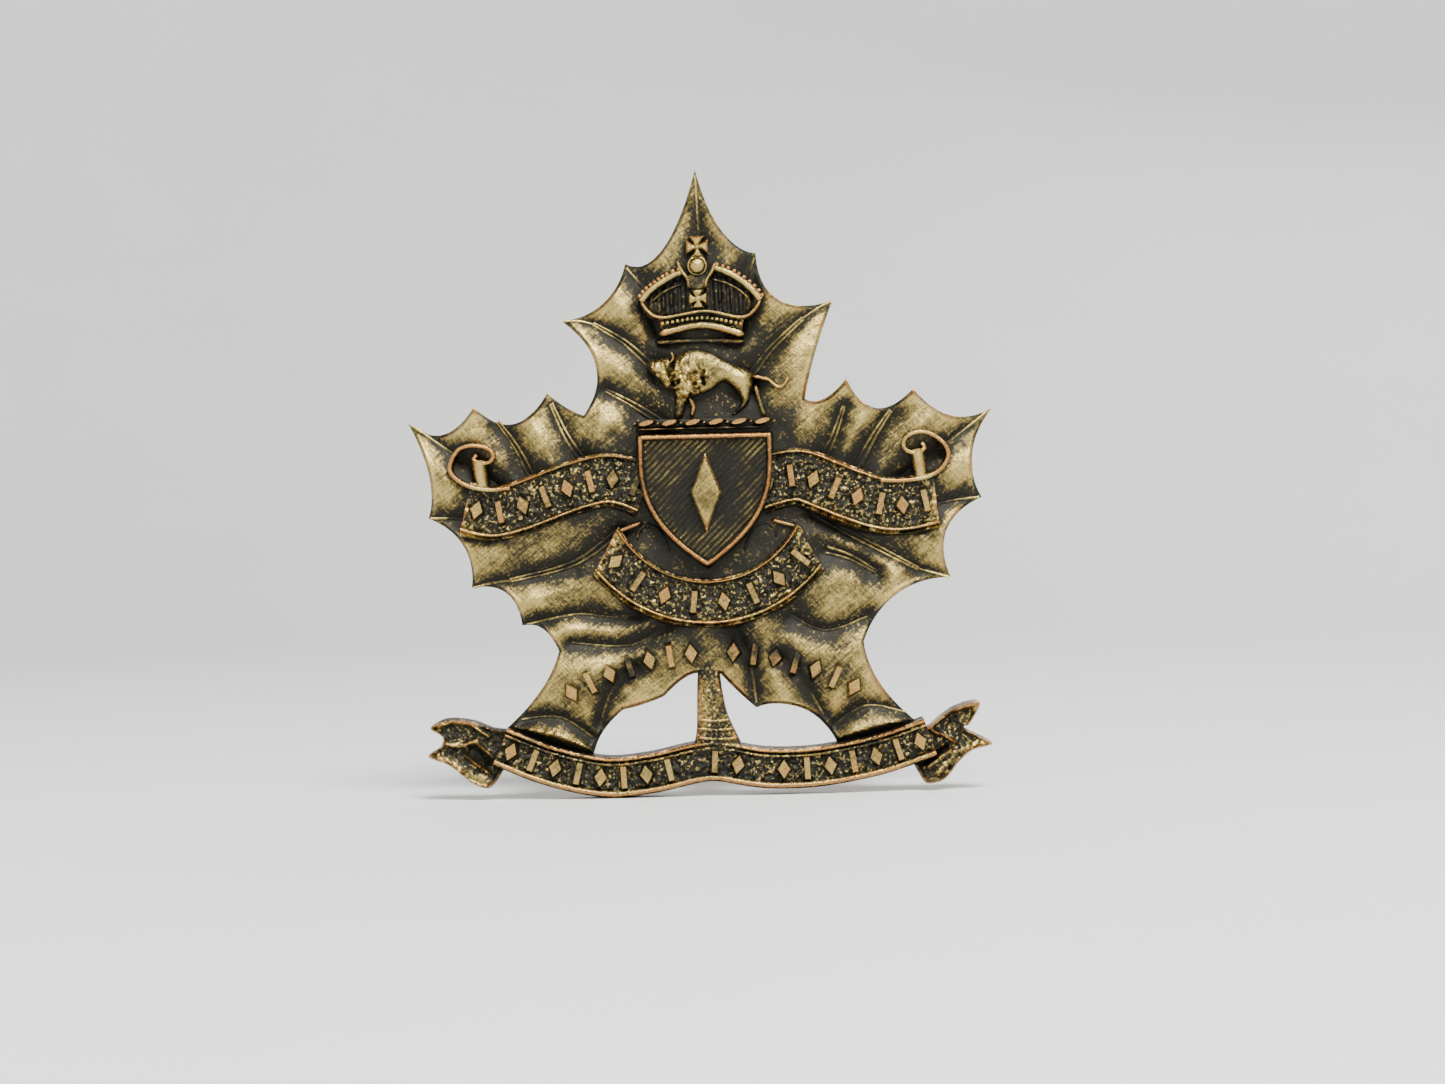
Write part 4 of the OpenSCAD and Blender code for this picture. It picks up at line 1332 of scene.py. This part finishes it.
class BADGE_OT_bison(bpy.types.Operator):
    """Builds the bison: body, mane, horn, far legs and tail"""
    bl_idname = "badge.bison"
    bl_label = "Bison"

    def execute(self, context):
        edge = spline(BISON_EDGE, 4, True)
        parts = [relief(edge, bison_level, BURIED, 0.085, (0.05, 0.12))]
        parts.append(strip(BISON_TAIL, 0.16, 0.3, 2.1, 1.0))
        parts += [strip(leg, half, 0.3, 1.8, 0.8) for leg, half in zip(FAR_LEGS, (0.21, 0.2))]
        parts.append(strip(BISON_HORN, 0.1, 0.2, 2.6, step=0.08))
        add_piece("bison", parts, rub=0.7, tone=-0.16, grit=0.3)
        return {"FINISHED"}


class BADGE_OT_crown(bpy.types.Operator):
    """Builds the crown: cap, arches, forked middle arch, band, orb and crosses, with its rows of beads"""
    bl_idname = "badge.crown"
    bl_label = "Crown"

    def execute(self, context):
        sizes = context.scene.badge_sizes

        def cap(points, gaps):
            pleat = 0.09 * np.cos(points[:, 0] * 2 * math.pi / 0.62 + 0.3 * points[:, 1])
            return 1.75 + 0.22 * ease(gaps, 0, 0.8) + pleat + 0.05 * grain(points, 0.25, 81)

        parts = [relief(spline(CROWN_CAP, 4, True), cap, BURIED, sizes.fine_grid)]
        parts += [strip(line, 0.27, 0.34, 2.15, 1.0, ends=0) for line in CROWN_ARCHES]
        parts += [strip(line, 0.1, 0.22, 2.0, 0.6) for line in CROWN_LINERS]
        parts += [strip(line, 0.16, 0.3, 2.3, 1.1) for line in CROWN_HORNS]
        parts.append(relief(spline(CROWN_FORK, 5, True), bevelled(2.4, 0.2, 0.15), 1.2, 0.08))
        for x, z in CROWN_UPRIGHTS:
            line = np.array([(x, z - 0.6), (x, z + 0.55)], float)
            parts.append(rib(resample(line, 0.1), 0.13, 0.28, 1.95, sink=0.6))
        rim = spline(CROWN_RIM, 6)
        parts.append(rib(resample(rim, 0.1), 0.14, 0.26, 2.35, sink=1.2))
        band_line = spline([(-2.9, 13.1), (0.45, 13.5), (3.4, 12.95)])
        parts.append(ribbon(band_line, 0.5, 2.1, [(0, 0.01, 0.02)], (0.1, 0.1), 1.6, BURIED, 83))
        parts += [strip(CROWN_BAND, 0.3, 0.4, 2.2, 1.1), strip(CROWN_FOOT, 0.2, 0.3, 1.75, 0.8)]
        parts.append(dome(ORB, 0.6, 0.4, 2.3, sink=1.1))
        small = relief(cross_edge((0.02, 14.95), 0.72, 0.2, 0.2), bevelled(2.75, 0.15, 0.1), 1.5, 0.07)
        large = relief(cross_edge((0.04, 18.95), 0.88, 0.22, 0.2), bevelled(2.45, 0.2, 0.14), 1.1, 0.07)
        add_piece("crown", [*parts, small, large], tone=-0.3, rub=0.55, grit=0.3)
        beads = []
        for arch, aside in zip(CROWN_ARCHES, (0.3, -0.3)):
            line = resample(spline(arch), 0.05)
            beads += row_places(line + across(line) * aside, 10, 2.35)
        beads += row_places(band_line, 17, 2.25)
        spots = [spot for _, spot in beads]
        row = struck_row("crown_beads", "bead", spots, sizes.bead, sizes.bead, sizes.bead, 0.3, 0.18)
        add_piece("crown_beads", row)
        add_piece("orb_ring", struck_lines("orb_ring", [(arc(ORB, 0.68, 0, 360, 32), 2.25)], 0.16))
        return {"FINISHED"}


class BADGE_OT_lugs(bpy.types.Operator):
    """Bends the two wire lugs and lays solder round their feet"""
    bl_idname = "badge.lugs"
    bl_label = "Lugs and solder"

    def execute(self, context):
        tints = context.scene.badge_colours
        toned = drawn_wire("toned_copper", tints.wire, 0.3, 0.32)
        for side in ("left", "right"):
            name = side + "_lug"
            low, high = (np.array(corner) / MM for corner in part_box(name))
            r = (high[0] - low[0]) / 2
            x, arch_r = (low[0] + high[0]) / 2, high[2] - r
            crown = high[1] - r - arch_r
            legs = np.linspace(low[1] + 0.02, crown, 14)[:-1]
            path = [(x, y, arch_r) for y in legs]
            bend = np.linspace(0, math.pi, 33)
            path += [(x, crown + arch_r * math.sin(a), arch_r * math.cos(a)) for a in bend]
            path += [(x, y, -arch_r) for y in legs[::-1]]
            shell = wire(path, r * WIRE_FIT, (1, 0, 0), round_section())
            add_piece(name + "_wire", [shell], name, finish=toned)
            for foot in ("upper", "lower"):
                node = f"{side}_{foot}_solder"
                add_piece(node + "_fillet", [self.fillet(node)], node, finish=soft_solder())
        return {"FINISHED"}

    def fillet(self, node):
        """A hollow-sided fillet with an uneven edge, inside the box of its node."""
        low, high = (np.array(corner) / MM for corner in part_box(node))
        x, z = (low[0] + high[0]) / 2, (low[2] + high[2]) / 2
        outer, rise = (high[0] - low[0]) / 2, high[1] - low[1]
        inner = outer - rise - 0.05
        turns, steps = 40, 9
        verts = []
        for k in range(steps + 1):
            t = k / steps
            for i in range(turns):
                a = 2 * math.pi * i / turns
                spread = outer * (0.95 + 0.03 * math.sin(3 * a + z) + 0.02 * math.sin(5 * a + x))
                r = spread - (spread - inner) * math.sin(t * math.pi / 2)
                y = low[1] + rise * (1 - math.cos(t * math.pi / 2)) + (0.06 if k == 0 else 0) - 0.06
                verts.append((x + r * math.cos(a), y + 0.04 * (k > 0), z + r * math.sin(a)))
        return np.array(verts) * MM, tube_faces(steps + 1, turns)


class BADGE_OT_pin(bpy.types.Operator):
    """Folds the half-round wire of the split pin into its eye and two legs"""
    bl_idname = "badge.pin"
    bl_label = "Split pin"

    def execute(self, context):
        tints = context.scene.badge_colours
        low, high = (np.array(corner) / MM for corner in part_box("split_pin"))
        r = (high[1] - low[1]) / 2
        y = (high[1] + low[1]) / 2
        eye_out = high[2]
        eye_r = eye_out - r
        eye_x = high[0] - eye_out
        half_gap = PIN_SPLIT / 2
        shoulder = eye_x - 1.75 * eye_r
        legs = np.linspace(low[0], shoulder, 60)
        turn = np.radians(np.linspace(158, -158, 57))
        path = [(x, half_gap) for x in legs]
        path += [(shoulder + 0.3, half_gap + 0.03), (shoulder + 0.55, half_gap + 0.12)]
        path += [(eye_x + eye_r * math.cos(a), eye_r * math.sin(a)) for a in turn]
        path += [(x, -z) for x, z in path[len(legs) + 1:len(legs) - 1:-1]]
        path += [(x, -half_gap) for x in legs[::-1]]
        line = np.array([(x, y, z) for x, z in path])
        taper = np.ones(len(line))
        for k in range(4):
            taper[k] = taper[-1 - k] = 0.8 + 0.05 * k
        shell = wire(line, r * WIRE_FIT * taper, (0, 1, 0), half_section() * [-1, 1])
        brass = drawn_wire("handled_brass", tints.pin, 0.35, 0.26)
        add_piece("split_pin_wire", [shell], "split_pin", body="pin", finish=brass)
        return {"FINISHED"}


class BADGE_OT_wear_and_light(bpy.types.Operator):
    """Works out how far each point of the face stands above its surroundings, for the finish to read as
    patina, rubbed copper, painted shade and painted highlight
    """
    bl_idname = "badge.wear"
    bl_label = "Wear and painted light"

    def execute(self, context):
        step, ground = 0.1, 0.9
        xs = np.arange(-25, 25, step)
        zs = np.arange(-25, 27, step)
        top = np.full((len(xs), len(zs)), ground)
        verts, faces, start = [], [], 0
        for piece, *_ in FACE_PIECES:
            mesh = piece.data
            mesh.calc_loop_triangles()
            verts.append(read_rows(mesh.vertices, "co"))
            faces.append(read_rows(mesh.loop_triangles, "vertices", int) + start)
            start += len(mesh.vertices)
        verts, faces = np.vstack(verts), np.vstack(faces)
        tree = BVHTree.FromPolygons(verts.tolist(), faces.tolist(), all_triangles=True)
        way = Vector((0, 1, 0))
        for i, x in enumerate(xs):
            for j, z in enumerate(zs):
                hit = tree.ray_cast(Vector((x * MM, -0.01, z * MM)), way, 0.02)[0]
                if hit is not None:
                    top[i, j] = -hit.y / MM
        near, wide = blurred(top, NEAR / step), blurred(top, WIDE / step)
        for piece, tone, rub, grit in FACE_PIECES:
            mesh = piece.data
            co = read_rows(mesh.vertices, "co") / MM
            behind = read_rows(mesh.vertices, "normal")[:, 1] > 0.35
            u = np.clip((co[:, 0] - xs[0]) / step, 0, len(xs) - 2)
            v = np.clip((co[:, 2] - zs[0]) / step, 0, len(zs) - 2)
            level = -co[:, 1]
            crest = rub * (level - between(near, u, v))
            # Low beside taller parts reads dark, as patina and as painted shade; high on a swell reads
            # bright, partly as a painted highlight
            swell = level - between(wide, u, v) + tone
            shine = grit + 0.9 * ease(-swell, 0.15, 0.55) * (grit > 0)
            crest[behind] = 0
            shine[behind] = 0
            # The back goes darker the deeper it lies in its hollow
            swell[behind] = 0.2 - 0.26 * np.minimum(level[behind], 1)
            for name, values in (("crest", crest), ("swell", swell), ("grit", shine)):
                held = mesh.attributes.new(name, "FLOAT", "POINT")
                held.data.foreach_set("value", values)
        return {"FINISHED"}


def read_rows(items, key, kind=float):
    """Three numbers of each of a mesh's items, one row each."""
    out = np.empty(len(items) * 3, kind)
    items.foreach_get(key, out)
    return out.reshape(-1, 3)


def blurred(field, sigma):
    """A Gaussian blur of a grid."""
    reach = int(3 * sigma) + 1
    weights = np.exp(-0.5 * (np.arange(-reach, reach + 1) / sigma) ** 2)
    weights /= weights.sum()
    for _ in range(2):
        padded = np.pad(field, ((reach, reach), (0, 0)), mode="edge")
        field = sum(weight * padded[k:k + len(field)] for k, weight in enumerate(weights)).T
    return field


def between(field, u, v):
    """Values of a grid between its points."""
    i, j = u.astype(int), v.astype(int)
    f, g = u - i, v - j
    low = field[i, j] * (1 - f) + field[i + 1, j] * f
    high = field[i, j + 1] * (1 - f) + field[i + 1, j + 1] * f
    return low * (1 - g) + high * g


class BADGE_OT_stage(bpy.types.Operator):
    """Sets the camera, the pale floor and surround, and the soft lights"""
    bl_idname = "badge.stage"
    bl_label = "Stage"

    def execute(self, context):
        stage = context.scene.badge_stage
        data = bpy.data.cameras.new("camera")
        data.sensor_width = 36
        data.lens = stage.lens
        data.clip_start = 0.001
        away = stage.view_w * stage.lens / data.sensor_width
        camera = new_object("camera", data)
        camera.location = (stage.aim_x, -away - SWELL * MM, stage.aim_z)
        camera.rotation_euler = Euler((math.pi / 2, stage.roll, 0))
        context.scene.camera = camera
        self.floor(stage)
        for name, spot, size, power in (
            ("key", (0.1, -0.3, 0.42), 0.26, stage.key),
            ("left_fill", (-0.42, -0.3, 0.12), 0.3, stage.fill),
            ("back_fill", (0.2, 0.4, 0.3), 0.3, stage.fill * 2),
        ):
            light = bpy.data.lights.new(name, "AREA")
            light.size = size
            light.energy = power
            lamp = new_object(name, light)
            lamp.location = spot
            lamp.rotation_euler = (-Vector(spot)).to_track_quat("-Z", "Y").to_euler()
        world = bpy.data.worlds.new("soft_sky")
        world.use_nodes = True
        sky = world.node_tree.nodes["Background"]
        sky.inputs["Color"].default_value = (1, 1, 1, 1)
        sky.inputs["Strength"].default_value = stage.sky
        context.scene.world = world
        return {"FINISHED"}

    def floor(self, stage):
        """A disc that sweeps up into a wall all round."""
        low = CAD_BOUNDS[0][2]
        bend = stage.reach * 0.45
        flat = stage.reach - bend
        rows = [(r, low) for r in np.linspace(0, flat, 8)[1:]]
        rows += [(flat + bend * math.sin(a), low + bend * (1 - math.cos(a)))
                 for a in np.linspace(0, math.pi / 2, 13)[1:]]
        rows.append((stage.reach, low + bend + stage.reach * 0.5))
        turns = 96
        verts = [(0, 0, low)]
        around = np.linspace(0, 2 * math.pi, turns, False)
        for r, z in rows:
            verts += [(r * math.cos(a), r * math.sin(a), z) for a in around]
        faces = [(0, 1 + i, 1 + (i + 1) % turns) for i in range(turns)]
        for k in range(len(rows) - 1):
            a, b = 1 + k * turns, 1 + (k + 1) * turns
            faces += [(a + i, b + i, b + (i + 1) % turns, a + (i + 1) % turns) for i in range(turns)]
        mesh = bpy.data.meshes.new("floor")
        mesh.from_pydata(verts, [], faces)
        mesh.shade_smooth()
        mesh.materials.append(pale_stage())
        new_object("floor", mesh)


STEPS = (
    BADGE_OT_stage, BADGE_OT_leaf, BADGE_OT_stem, BADGE_OT_scrolls, BADGE_OT_motto, BADGE_OT_ornament,
    BADGE_OT_shield, BADGE_OT_wreath, BADGE_OT_bison, BADGE_OT_crown, BADGE_OT_wear_and_light, BADGE_OT_lugs,
    BADGE_OT_pin,
)
SETTINGS = (("badge_sizes", BadgeSizes), ("badge_colours", BadgeColours), ("badge_stage", BadgeStage))


class BADGE_PT_sidebar(bpy.types.Panel):
    """Lists the badge's settings and the steps that build it"""
    bl_idname = "BADGE_PT_sidebar"
    bl_label = "Struck Cap Badge"
    bl_space_type = "VIEW_3D"
    bl_region_type = "UI"
    bl_category = "Badge"

    def draw(self, context):
        for attribute, group in SETTINGS:
            box = self.layout.box()
            for name in group.__annotations__:
                box.prop(getattr(context.scene, attribute), name)
        for step in STEPS:
            self.layout.operator(step.bl_idname)


def register():
    for attribute, group in SETTINGS:
        bpy.utils.register_class(group)
        setattr(bpy.types.Scene, attribute, PointerProperty(type=group))
    for step in STEPS + (BADGE_PT_sidebar,):
        bpy.utils.register_class(step)


def unregister():
    for step in (BADGE_PT_sidebar,) + STEPS[::-1]:
        bpy.utils.unregister_class(step)
    for attribute, group in SETTINGS[::-1]:
        delattr(bpy.types.Scene, attribute)
        bpy.utils.unregister_class(group)


def main():
    register()
    for step in STEPS:
        area, name = step.bl_idname.split(".")
        getattr(getattr(bpy.ops, area), name)()


if __name__ == "__main__":
    main()
